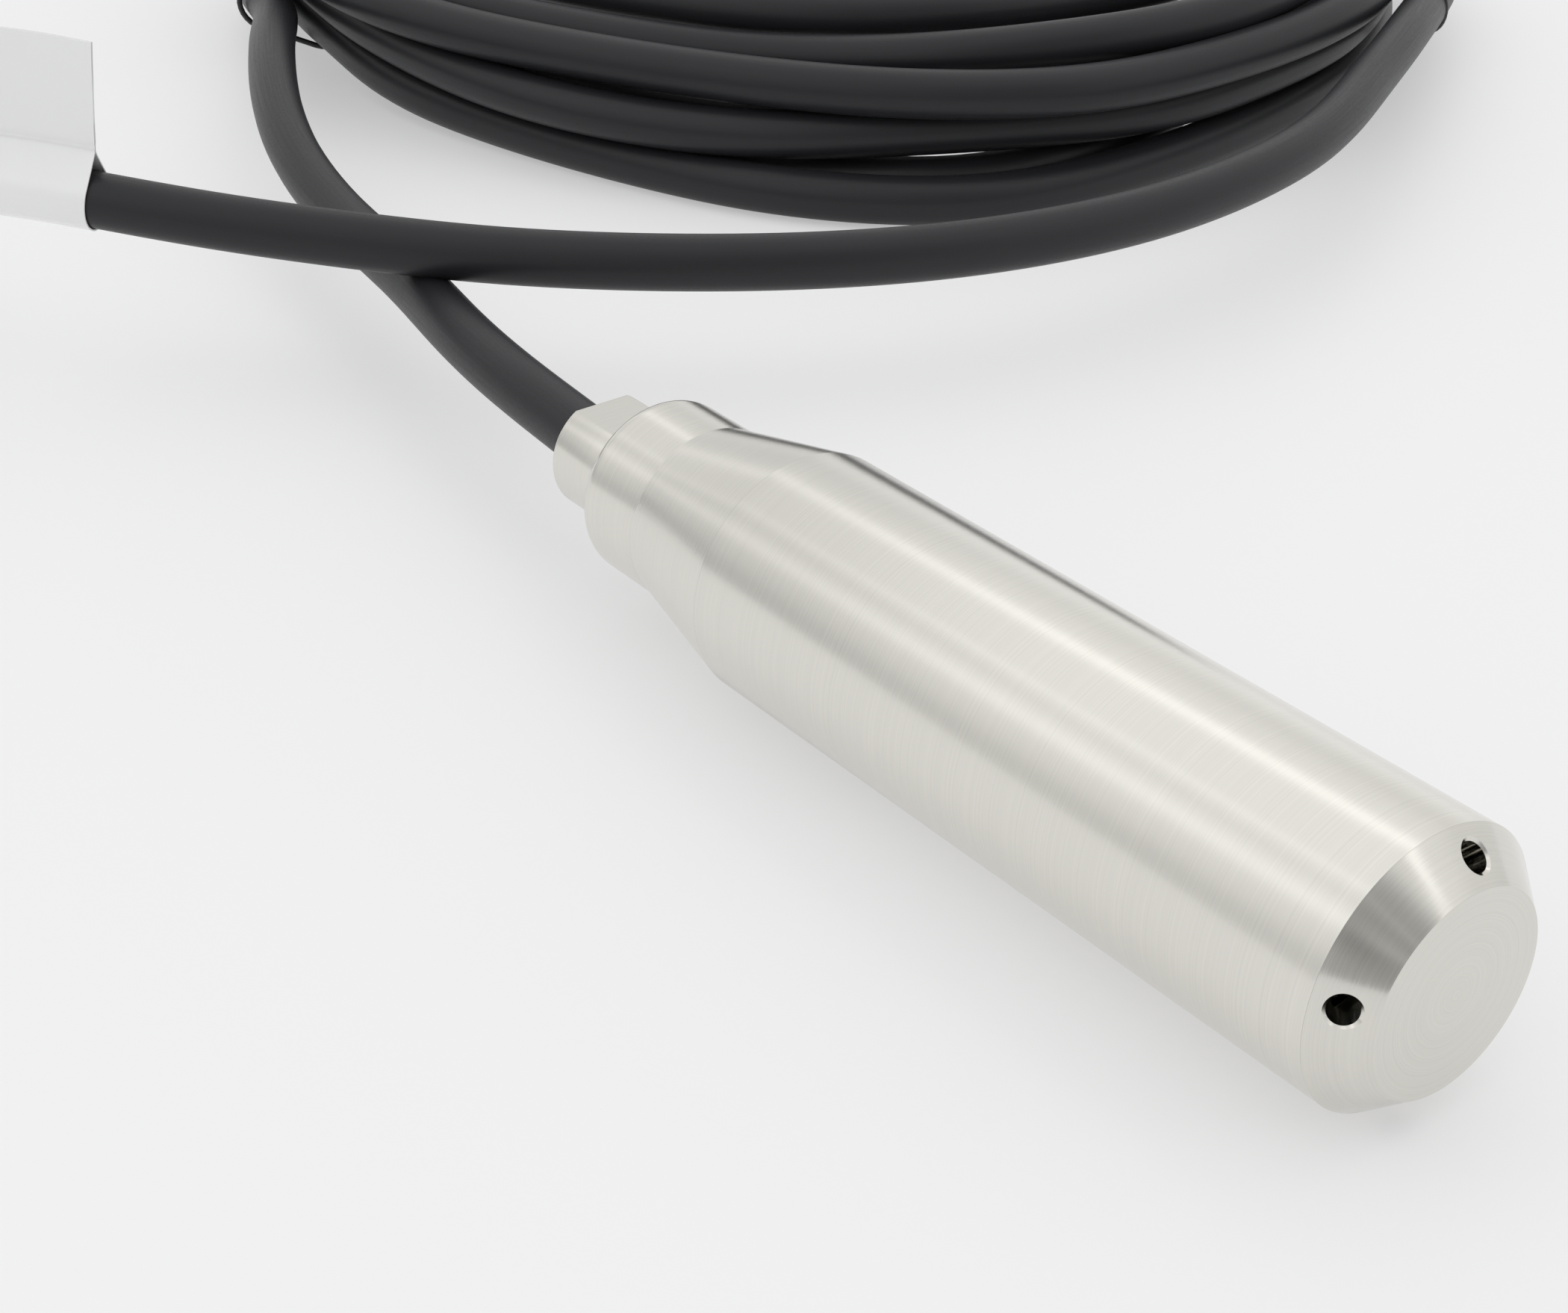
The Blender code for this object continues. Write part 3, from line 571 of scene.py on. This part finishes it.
# %% The lead, from the gland to the coil
LEAD = [(-63.3, 0, 14), (-72.8, .8, 14), (-86.6, 1.6, 14), (-95.6, 2.9, 14), (-106.9, 5.3, 13.4),
        (-121.9, 9.4, 12.6), (-133.8, 11.2, 12.2), (-145.6, 12.8, 12.2), (-156.5, 14.4, 12.6),
        (-172.4, 18, 14), (-186.4, 23.1, 15.3), (-200.7, 29.8, 16), (-210.2, 34.9, 16),
        (-227.4, 44.9, 14.6), (-242.8, 54.9, 12)]

# %% The seven strands of the coil's front, each from right to left
FRONT = {
    "lowest": [(-120.5, 189, 6), (-115.4, 169, 4.4), (-112.3, 148.6, 3.75), (-111.6, 132, 3.75),
               (-112.0, 117.7, 3.75), (-113.7, 108.2, 3.75), (-117.2, 100.6, 3.75), (-123.1, 93.5, 3.75),
               (-131.6, 85.9, 3.75), (-141.2, 79.4, 3.75), (-153.6, 74.4, 3.75), (-167.3, 69.6, 3.75),
               (-182.2, 65.3, 3.9), (-198.3, 61.2, 4.4), (-205.5, 59.6, 5.2), (-218.7, 57.9, 7.0),
               (-238.5, 60.7, 9.6)],
    "middle": [(-119.4, 187.7, 12), (-114.7, 162.9, 12), (-112.5, 144.4, 11.7), (-114.9, 131.0, 11.6),
               (-118.9, 119.3, 12), (-123.6, 108.3, 12), (-129.5, 98.5, 12), (-136.1, 88.3, 11.6),
               (-144.2, 81.0, 11.1), (-154.0, 73.9, 11.0), (-165.6, 68.0, 11.1), (-178.4, 62.9, 11.4),
               (-196.5, 59.5, 12.0), (-215.5, 57.3, 13), (-227.7, 56.2, 13.6), (-241.7, 58.3, 14.2)],
    "inner": [(-127, 187, 14), (-122.3, 166, 11.2), (-120.4, 149.4, 7.6), (-119.3, 133.0, 5.0),
              (-119.7, 118.8, 4.0), (-121.5, 109.8, 3.8), (-124.5, 103.2, 3.75), (-130.1, 96.7, 3.75),
              (-138.0, 91.4, 3.75), (-146.0, 86.4, 3.75), (-156.4, 81.6, 3.75), (-169.7, 76.9, 3.75),
              (-184.3, 72.7, 3.9), (-200.2, 68.7, 4.8), (-218.4, 66.3, 8.0), (-238.5, 68.5, 10)],
    "innermost": [(-134, 184, 16), (-129.5, 164, 12.5), (-129.5, 147, 11.5), (-131, 133, 11),
                  (-134, 121, 10.5), (-137, 111.5, 10.5), (-142, 103, 10.5), (-148, 96, 10.5),
                  (-156, 88.5, 10.5), (-166, 82, 10.5), (-178, 77, 10.5), (-190, 73, 10.8),
                  (-205, 69.8, 12), (-222, 69.5, 14.5), (-238, 71, 17.5)],
    "far": [(-135.7, 185.7, 22.5), (-133.6, 165.7, 23.5), (-133.3, 148.3, 23.2), (-136.4, 130.5, 23.6),
            (-139.6, 118.6, 24.2), (-144.4, 110.5, 23.8), (-151.2, 100.7, 22.9), (-159.9, 92.4, 22.6),
            (-171.8, 86.1, 23), (-183.2, 82.8, 23), (-195.4, 79, 23), (-209.3, 74.4, 23),
            (-226.8, 72.4, 23.4), (-241.6, 72.1, 23.6)],
    "upper": [(-121, 186, 25), (-114.5, 162, 24.4), (-112.9, 145.7, 24), (-116.2, 132.8, 23.6),
              (-121.5, 122.0, 22.8), (-127.8, 112.2, 21.8), (-136.5, 104.2, 20.3), (-147.9, 96.7, 18.8),
              (-158.5, 88.4, 18.5), (-167.7, 82.2, 18.7), (-178, 77, 18.8), (-190, 71, 19.1),
              (-205, 65.5, 19.5), (-220, 62.3, 20.6), (-238, 62.5, 22)],
    "top": [(-117.5, 192, 19), (-111.9, 176.6, 19), (-108.9, 156.2, 19), (-108.4, 139.5, 19),
            (-109.2, 124.9, 19), (-113.5, 114.1, 19), (-119.7, 104.9, 19), (-126.9, 96.5, 19),
            (-135.7, 89.3, 19), (-145.5, 82.5, 19), (-156.2, 76.3, 19), (-167.8, 70.3, 19),
            (-180.9, 64.9, 19), (-194.4, 59.4, 19), (-210.4, 55, 19), (-223.2, 53.8, 19.5),
            (-238.4, 55.3, 20.5)],
}

# %% The ring of points behind the coil, without their heights
BACK = [(-258.5, 54.5), (-284.5, 69), (-303.5, 97), (-310.5, 136), (-303, 176), (-280, 213), (-243, 240),
        (-202, 250), (-163, 244), (-141, 227)]

# %% The tail, from the coil to the stripped end
TAIL = [(-118.5, 207.5, 13), (-112, 197.3, 15.4), (-103.8, 184, 16), (-95.8, 168.6, 16),
        (-83.3, 145.9, 16.2), (-77.5, 131.6, 16.5), (-74.3, 119.6, 16.8), (-72.7, 109.3, 17),
        (-71.7, 99.9, 17.2), (-71.7, 91.7, 17.4), (-72.5, 84.3, 17.6), (-73.4, 77.1, 17.8),
        (-74.8, 70.6, 18), (-76.7, 65.1, 18), (-79.1, 59.5, 18), (-84.3, 48.6, 18.2), (-90.4, 38.6, 18.4),
        (-97.3, 29.2, 18.6), (-105.7, 18.6, 19), (-113.4, 9.7, 19.6), (-118.1, 5.8, 20),
        (-122.1, 1.5, 20.4), (-127.8, -4.2, 21), (-133.2, -9.9, 21.8), (-139.2, -15.4, 22.6),
        (-145.5, -20.8, 23.5), (-155, -28.8, 24.9), (-166, -38.2, 25.6), (-177, -47.4, 24),
        (-191, -58, 18.6), (-204, -68, 10.5), (-216, -75.6, 5.2), (-229, -82, 3.75)]


# %% Sketching the turns behind the coil
COIL_CENTRE = np.array([-213.0, 150.0])
LOOSE = 0.93


def inset_and_level(point, near, far):
    """How far inwards of the line from near to far a point lies, and its height."""
    along = np.subtract(far, near) / np.linalg.norm(np.subtract(far, near))
    inward = np.array([along[1], -along[0]])
    inward *= np.sign((COIL_CENTRE - near) @ inward)
    return (np.asarray(point[:2]) - near) @ inward, point[2]


# The outermost turn behind the coil is BACK. An inner turn keeps to the inside of it: by as much as the
# strand it comes from does at one end, by as much as the strand it goes to at the other.
ends = np.array([(-238, 52), *BACK, (-124, 200)], float)
course = ends[2:] - ends[:-2]
course /= np.linalg.norm(course, axis=1)[:, None]
inward = np.stack([course[:, 1], -course[:, 0]], 1)
inward *= np.sign(((COIL_CENTRE - ends[1:-1]) * inward).sum(1))[:, None]
share = np.linspace(0, 1, len(BACK) + 2)[1:-1]
share = share * share * (3 - 2 * share)

order = ["lowest", "middle", "inner", "innermost", "far", "upper", "top"]
hidden = [FRONT[name] for name in ("inner", "innermost", "far")]
knots, held = [*LEAD], [1.0] * len(LEAD)
for leaving, reaching in zip([LEAD, *map(FRONT.get, order)], [*map(FRONT.get, order), TAIL]):
    inset_0, level_0 = inset_and_level(leaving[-1], ends[0], ends[1])
    inset_1, level_1 = inset_and_level(reaching[0], ends[-1], ends[-2])
    flat = ends[1:-1] + inward * (inset_0 + (inset_1 - inset_0) * share)[:, None]
    knots += [(x, y, z) for (x, y), z in zip(flat, level_0 + (level_1 - level_0) * share)] + list(reaching)
    held += [0.0] * len(BACK) + [LOOSE if reaching in hidden else 1.0] * len(reaching)
knots, held = np.array(knots, float), np.array(held)
print("cable sketched through", len(knots), "points")


# %% Settling the turns against each other
def settle(path, hold, rounds=260, apart=2 * CABLE_R + 0.8):
    """Each point that lies nearer than apart to a point of another turn moves away from it, along the
    line between them, by 0.4 of what they lack. The moves are then evened out along the cable, and none
    goes below the table. hold, from 0 to 1, keeps the measured stretches where they are."""
    start, count = path.copy(), len(path)
    steps = np.arange(count)
    others = np.abs(steps[:, None] - steps[None]) > 6
    for _ in range(rounds):
        between = path[:, None] - path[None]
        gap = np.linalg.norm(between, axis=2) + 1e-9
        lack = np.where(others, np.clip(apart - gap, 0, None), 0)
        push = (between * (lack / gap)[..., None]).sum(1) * 0.4
        moved, even, bend = path - start, np.zeros_like(path), np.zeros_like(path)
        even[1:-1] = (moved[:-2] + moved[2:]) / 2 - moved[1:-1]
        bend[1:-1] = (path[:-2] + path[2:]) / 2 - path[1:-1]
        path = path + (1 - hold)[:, None] * (push + 0.18 * even + 0.02 * bend)
        path[:, 2] = np.maximum(path[:, 2], CABLE_R)
    return path


# The hold of each point is its nearest knot's, evened out over 13 points so that no kink forms.
sketch = through(knots, 8.0)
nearest = np.linalg.norm(sketch[:, None] - knots[None], axis=2).argmin(1)
hold = np.convolve(np.pad(held[nearest], 6, mode="edge"), np.ones(13) / 13, "valid")
route = settle(sketch, hold)
for _ in range(3):
    route[1:-1] = (route[:-2] + 2 * route[1:-1] + route[2:]) / 4
route = through(route, 3.0)
cable_length = np.linalg.norm(np.diff(route, axis=0), axis=1).sum()
print(f"cable: {cable_length:.0f} mm along {len(route)} points")


# %% [markdown]
# ## A round skin along a path
# The cable and its cores are tubes: a circle carried along a curve. The curve never goes straight up,
# so the circle's frame can be taken from the vertical, and its seam then stays underneath.

# %% Tube along a path
def tube(path, radius, around=24, upright=(0, 0, 1.0), loop=False, bore=None, twist=None):
    """Point (s, a): path(s) + radius * (side sin a + over cos a), where side is square to the path and to
    upright, and over is square to both. It ends in flat discs, or closes on itself as a loop, or comes
    back inside itself with radius bore, as a pipe. twist = (strands, turns per mm) shapes its skin as
    twisted strands: radius * (0.78 + 0.22 |cos(strands / 2 * (a - turns * s))|)."""
    path = np.asarray(path, float)
    ahead = (np.roll(path, -1, 0) - np.roll(path, 1, 0)) if loop else np.gradient(path, axis=0)
    ahead /= np.linalg.norm(ahead, axis=1)[:, None]
    side = np.cross(ahead, upright)
    side /= np.linalg.norm(side, axis=1)[:, None]
    over = np.cross(side, ahead)
    run = np.r_[0, np.cumsum(np.linalg.norm(np.diff(path, axis=0), axis=1))]
    radii = np.full(len(path), float(radius))
    if bore:
        path, side, over, run = (np.concatenate([rows, rows[::-1]]) for rows in (path, side, over, run))
        radii = np.r_[radii, np.full(len(radii), bore)]
    angle = TURN * np.arange(around) / around + math.pi
    reach = np.repeat(radii[:, None], around, 1)
    if twist:
        strands, turns = twist
        phase = strands / 2 * (angle[None] - TURN * turns * run[:, None])
        reach = reach * (0.78 + 0.22 * np.abs(np.cos(phase)))
    ring = side[:, None] * np.sin(angle)[None, :, None] + over[:, None] * np.cos(angle)[None, :, None]
    points = (path[:, None] + ring * reach[..., None]).reshape(-1, 3)
    round_share = np.abs(np.arange(around) / around - 0.5) * 2
    skin = np.stack(np.broadcast_arrays(round_share[None], run[:, None] / (TURN * radius)), -1).reshape(-1, 2)
    closed = loop or bore is not None
    faces = [grid_faces(len(path), around, loop_rows=closed, loop_columns=True)]
    if not closed:
        count, j = len(points), np.arange(around)
        points, skin = np.vstack([points, path[[0, -1]]]), np.vstack([skin, skin[[0, -1]]])
        faces.append(end_fans(j, count - around + j, count, count + 1))
    return points, facing_out(points, *faces), skin


def joined(*parts):
    """Several meshes as one: each part's faces count on from the points before it."""
    points, faces, skins = [], [], []
    for part_points, part_faces, part_skin in parts:
        before = sum(map(len, points))
        points.append(part_points)
        faces += [[corner + before for corner in face] for face in part_faces]
        skins.append(part_skin)
    return np.vstack(points), faces, np.vstack(skins)


points, faces, skin = tube(route, CABLE_R)
cable = new_piece("cable", points, faces, black_jacket, skin=skin)
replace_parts(cable, "cable_lead", "cable_coil", "cable_tail")
print("cable faces:", len(faces), "size", shown_size(cable))

# %% [markdown]
# ## Wire ties
# A wire pulled tight round a bundle takes the shape of a stretched string: the convex hull of the strands
# that it crosses. So the hull of circles round those strands, cut by the tie's own plane, is its path.

# %% Convex hull and a tie
def hull(points):
    """Andrew's monotone chain: points in order of x, dropping each one that would turn the outline in."""
    points = points[np.lexsort((points[:, 1], points[:, 0]))]
    chains = []
    for order in (points, points[::-1]):
        chain = []
        for q in order:
            while len(chain) > 1 and np.cross(chain[-1] - chain[-2], q - chain[-2]) <= 0:
                chain.pop()
            chain.append(q)
        chains += chain[:-1]
    return np.array(chains)


TWIST_LENGTH, TWIST_ANGLE = 9, 16


def tied(anchor, turn, twist_at, twist_way, wires, splay, slack, near=30.0):
    """Loops of wire in upright planes through the anchor, at a turn from square to x, and the twisted
    end, which leaves the last loop at the share twist_at of its length, towards twist_way."""
    parts = []
    anchor = np.array([*anchor, 0.0])
    for wire in range(wires):
        lean = math.radians(turn) + splay * (wire - (wires - 1) / 2)
        ahead = np.array([math.cos(lean), math.sin(lean), 0])
        side = np.array([-math.sin(lean), math.cos(lean), 0])
        past = (route - anchor) @ ahead
        k = np.where(past[:-1] * past[1:] <= 0)[0]
        share = (past[k] / (past[k] - past[k + 1]))[:, None]
        crossing = route[k] + share * (route[k + 1] - route[k])
        crossing = crossing[np.linalg.norm((crossing - anchor)[:, :2], axis=1) < near]
        flat = np.stack([(crossing - anchor) @ side, crossing[:, 2]], 1)
        a = TURN * np.arange(36) / 36
        ring = (CABLE_R + WIRE_R + 0.04 + slack) * np.stack([np.cos(a), np.sin(a)], 1)
        outline = hull((flat[:, None] + ring[None]).reshape(-1, 2))
        outline[:, 1] = np.maximum(outline[:, 1], WIRE_R + 0.05)
        outline = np.vstack([outline, outline[:1]])
        run = np.r_[0, np.cumsum(np.linalg.norm(np.diff(outline, axis=0), axis=1))]
        even = np.linspace(0, run[-1], 97)[:-1]
        outline = np.stack([np.interp(even, run, outline[:, c]) for c in (0, 1)], 1)
        path = anchor + outline[:, :1] * side + np.array([0, 0, 1.0]) * outline[:, 1:]
        parts.append(tube(path, WIRE_R, 10, upright=ahead, loop=True))
    start = path[int(twist_at * len(path))]
    way = np.asarray(twist_way, float) / np.linalg.norm(twist_way)
    out, over = np.cross(way, ahead), np.cross(way, np.cross(way, ahead))
    t = np.linspace(0, 1, 60)[:, None]
    for phase in (0, math.pi):
        swing = TWIST_ANGLE * t + phase
        round_it = WIRE_R * 1.02 * (out * np.cos(swing) + over * np.sin(swing)) * np.minimum(8 * t, 1)
        spiral = start + way * TWIST_LENGTH * t + round_it
        spiral = spiral + out * (0.8 if phase else -0.8) * np.clip(t - 0.8, 0, 1) * 6
        parts.append(tube(spiral, WIRE_R * 0.97, 8, upright=ahead))
    return joined(*parts)


ties = []
for name, how in {"tie_left": ((-246, 59), -30, 0.6, (0.3, 0.6, 0.5), 1, 0.0, 0.5),
                  "tie_right": ((-118, 208), 82.5, 0.4, (-0.6, 0.5, 0.5), 2, 0.26, 0.0)}.items():
    points, faces, skin = tied(*how)
    tie = new_piece(name + "_wire", points, faces, black_wire)
    ties.append(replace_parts(tie, name))
    print(tie.name, shown_size(tie))

# %% [markdown]
# ## Flag label
# The label is one strip of film. It goes round the cable, and its two ends are stuck together above it as
# a flag. In section it is a line that comes down one side of the flag, leaves for the cable at a tangent,
# goes round it and climbs back up. Giving that line a thickness makes the closed strip.

# %% Flag label
FILM_R, FILM, FLAG, WRAP, WRAP_START = 4.0, 0.2, 17.4, 25.0, 1.1
LABEL_AT, LABEL_ALONG = np.array([-147.0, -22.0, 24.0]), np.array([-0.75, -0.65, 0.10])
LABEL_ALONG /= np.linalg.norm(LABEL_ALONG)
label_out = np.cross(LABEL_ALONG, (0, 0, 1.0))
label_out /= np.linalg.norm(label_out)
label_up = np.cross(label_out, LABEL_ALONG)
a = np.radians(np.linspace(52, 308, 33))
heights = np.linspace(FILM_R + FLAG, 6.6, 14)
line = np.vstack([np.stack([np.full(14, 0.13), heights], 1), FILM_R * np.stack([np.sin(a), np.cos(a)], 1),
                  np.stack([np.full(14, -0.13), heights[::-1]], 1)])
line = through(np.c_[line, np.zeros(len(line))], 0.5)[:, :2]
slope = np.gradient(line, axis=0)
slope /= np.linalg.norm(slope, axis=1)[:, None]
square = np.stack([slope[:, 1], -slope[:, 0]], 1) * FILM / 2
section = np.vstack([line + square, (line - square)[::-1]])
runs = np.linspace(0, WRAP, 27)
near = np.linalg.norm(route - LABEL_AT, axis=1).argmin()
stretch = route[near - 4:near + 16]
along_it = (stretch - LABEL_AT) @ LABEL_ALONG
middle = np.stack([np.interp(runs + WRAP_START, along_it, stretch[:, c]) for c in range(3)], 1)
high = np.clip((section[:, 1] - 6.0) / FLAG, 0, 1)
bow = 0.9 * high[None] ** 2 * np.sin(math.pi * runs / WRAP + 0.5)[:, None]
outwards, upwards = section[None, :, :1] + bow[..., None], section[None, :, 1:]
points = (middle[:, None] + label_out * outwards + label_up * upwards).reshape(-1, 3)
wide = len(section)
k = np.arange(wide // 2 - 1)
ribbon = np.stack([k, k + 1, wide - 2 - k, wide - 1 - k], 1)
label_faces = facing_out(points, np.vstack([grid_faces(len(runs), wide, loop_columns=True),
                                            ribbon[:, ::-1], ribbon + wide * (len(runs) - 1)]))
label = new_piece("flag_label", points, label_faces, label_film, sharp=50)
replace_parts(label, "cable_label")
print("label:", shown_size(label), "faces", len(label_faces))

# %% [markdown]
# ## The stripped end
# Three insulated cores and the vent tube come out of the cut jacket. Each core's last third is bare: a
# few tinned strands twisted together.

# %% Cores, strands and vent tube
END = route[-1]
heading = np.array([-13, -6, 0]) / math.hypot(13, 6)
aside = np.array([-heading[1], heading[0], 0])
upward = np.array([0, 0, 1.0])
CORE_R, STRANDS_R, VENT_R, VENT_BORE, FILLER_R = 0.7, 0.46, 0.9, 0.5, 2.85
# Each core's place across the cable, its height in it, how far it spreads and its colour.
cores = {"red": (1.7, 1.0, 9.0, "red"), "black": (-1.7, 1.0, -6.5, "black"),
         "shield": (0.0, 2.2, 1.5, "pale")}
on_cable = [label, *ties]
for name, (y, lift, spread, colour) in cores.items():
    leaving = END + aside * y + upward * lift
    bend = END + heading * 14.4 + aside * (y + spread * 0.5)
    rest = END + heading * 24 + aside * (y + spread)
    bend[2], rest[2] = (END[2] + lift + 0.75) / 2, 0.75
    path = through([leaving - heading, leaving + heading * 4, bend, rest], 0.4)
    cut = int(len(path) * 0.68)
    points, faces, skin = tube(path[:cut], CORE_R, 20)
    core = new_piece("core_" + name, points, faces, insulation[colour],
                     skin=skin, sharp=50)
    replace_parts(core, "core_wire_" + name)
    points, faces, skin = tube(path[cut - 4:], STRANDS_R, 28, twist=(7, 0.11))
    on_cable += [core, new_piece("strands_" + name, points, faces, tinned, skin=skin, sharp=60)]
bend, rest = END + heading * 9.6 - aside * 0.6, END + heading * 16 - aside * 1.2
bend[2] = rest[2] = 0.95
path = through([END - heading - upward * 1.6, END + heading * 4 - upward * 1.6, bend, rest], 0.5)
points, faces, skin = tube(path, VENT_R, 24, bore=VENT_BORE)
vent = new_piece("vent_pipe", points, faces, vent_plastic, skin=skin, sharp=50)
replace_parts(vent, "vent_tube_end")
points, faces, skin = tube([END - heading * 0.5, END + heading * 0.12], FILLER_R, 32)
filler = new_piece("cable_filler", points, faces, insulation["pale"], sharp=40)
on_cable += [vent, filler]
print("on the cable:", ", ".join(piece.name for piece in on_cable))

# %% The cable's first point, and all its points, in metres
tuple(route[0] * MM)
[tuple(p) for p in route * MM]

# %% [markdown]
# ## Inside the probe
# Sealing rings are lathed again as true circles, each measured on its solid. The other inner parts keep
# their solids and only get their finish.

# %% Sealing rings
for name, body in (("cap_oring", "cap"), ("sensor_oring", "probe"), ("tail_oring", "probe")):
    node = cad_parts[name]
    co = np.zeros(len(node.data.vertices) * 3)
    node.data.vertices.foreach_get("co", co)
    place = np.array(node.matrix_world)
    co = (co.reshape(-1, 3) @ place[:3, :3].T + place[:3, 3]) / MM
    wire, outer = np.ptp(co[:, 0]) / 2, np.ptp(co[:, 1]) / 2
    a = TURN * np.arange(24) / 24
    back, radius = NOSE_X - co[:, 0].mean() + wire * np.cos(a), outer - wire + wire * np.sin(a)
    points, faces = lathed(np.stack([back, radius], 1))
    ring = new_piece(name + "_ring", points, faces, rubber, body=body)
    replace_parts(ring, name)
    print(f"{name}: wire {2 * wire:.2f} mm, outer radius {outer:.2f} mm")

# %% Finishes for the solids that stay
looks = {"retaining_ring": steel, "sensor_cell": faced_steel, "washer_front": faced_steel,
         "washer_rear": faced_steel, "reference_tube": steel, "sensor_diaphragm": foil,
         "insulating_sleeve": liner, "circuit_board": board_green,
         "amplifier_chip": chip_black, "transmitter_chip": chip_black, "surge_diode": chip_black,
         "zero_trimmer": trimmer_blue, "span_trimmer": trimmer_blue, "terminal_block": terminal_green,
         "capacitor_1": capacitor_grey, "capacitor_2": capacitor_grey, "grommet": rubber,
         "supply_wire_red": insulation["red"], "supply_wire_black": insulation["black"],
         "shield_wire": insulation["pale"], "breather_tube": vent_plastic,
         "cable_root": moulded("cable_root", (0.03, 0.03, 0.032), 0.5)}
for number, colour in enumerate(("red", "blue", "pale", "green"), 1):
    looks[f"sensor_pin_{number}"], looks[f"sensor_wire_{number}"] = gold, insulation[colour]
for name, finish in looks.items():
    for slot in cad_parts[name].material_slots:
        slot.material = finish.material
plain = [name for name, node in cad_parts.items() if name not in looks and not node.hide_render]
print("solids still plain:", plain or "none")

# %% [markdown]
# ## Table and light
# The table is a matt white sheet. Light that has bounced off the bright steel fills its shadows in the
# photo, so a share of what the camera sees of it is plain white. The room is a soft box: its brightness
# depends on the direction alone, and a few long lamps in it draw the streaks along the cylinder.

# %% Table
table = Finish("white_table", base_color=(0.93, 0.93, 0.935), roughness=0.5)
shown = (table.node("LightPath", out="Is Camera Ray") + table.node("LightPath", out="Is Glossy Ray")) * 0.45
white = table.node("Emission", None, {"Color": (0.93, 0.93, 0.935)})
seen = table.node("MixShader", None, {0: shown, 1: Value(table, table.surface.outputs[0]), 2: white})
table.feed(table.tree.nodes["Material Output"].inputs["Surface"], seen)
floor_mesh = bpy.data.meshes.new("table_top")
floor_mesh.from_pydata([(-4, -4, 0), (4, -4, 0), (4, 4, 0), (-4, 4, 0)], [], [(0, 1, 2, 3)])
floor_mesh.materials.append(table.material)
floor = bpy.data.objects.new("table_top", floor_mesh)
bpy.context.scene.collection.objects.link(floor)

# %% The room as light
class Room(Finish):
    """The world's shader, written with the same methods. Its place is the direction looked in."""

    def __init__(self, name):
        self.world = bpy.data.worlds.new(name)
        self.world.use_nodes = True
        self.tree = self.world.node_tree
        self.surface = self.tree.nodes["Background"]
        self.set(color=(1.0, 1.0, 1.0))


room = Room("studio")
x, y, z = room.parts(room.node("TexCoord", out="Generated"))
tilt = room.node("Math", {"operation": "ARCTAN2"}, {0: y * -1.0, 1: z})
upright = z / (y * y + z * z + 0.0001) ** 0.5


def band(centre, width, height):
    """A long lamp that runs along the probe: height * exp(-((tilt - centre) / width)^2), in degrees."""
    off = (tilt - math.radians(centre)) / math.radians(width)
    fall = off * off * -1.0
    return fall.math("EXPONENT", fall) * height


# The box is a little brighter above the horizon. Its lamps make the streaks, and dark bands part them.
glow = upright.above(0.0) * 0.25 + 0.75
LAMPS = [(-25, 5.0, 0.40), (-60, 10, -0.05), (20, 2.2, 0.20), (31, 2.4, -0.09), (46, 6.5, 0.22),
         (80, 10, -0.10)]
for centre, width, height in LAMPS:
    glow = glow + band(centre, width, height)
# The bevel turned to the camera reflects a dim corner of the box, first in one crisp step, then slowly.
bevel_side = x * 0.80 + y * -0.30 + z * 0.52
glow = glow * bevel_side.step(0.785, 0.800, 1.0, 0.86) * bevel_side.step(0.84, 0.98, 1.0, 0.50)
# The taper reflects the box's end behind it, and the nose's lower half the end before it. Both are dimmer.
glow = glow * x.step(-0.82, -0.62, 0.78, 1.0)
glow = glow * (1 - x.step(0.55, 0.75) * (y * -1.0).step(0.38, 0.55) * 0.28)
# A low window behind the coil lights the cable's far side.
behind = x * -0.79 + y * 0.61
glow = glow + behind.step(0.35, 0.95) * z.step(0.0, 0.45, 0.2, 0.0)
# The camera sees none of this past the table, only a plain backdrop.
seen = room.node("LightPath", out="Is Camera Ray")
backdrop = room.mixed(seen, (1.0, 1.0, 1.0), (0.89, 0.89, 0.895))
room.set(color=backdrop, strength=glow * (1 - seen) + seen)
bpy.context.scene.world = room.world
bpy.context.scene.view_settings.view_transform = "Standard"
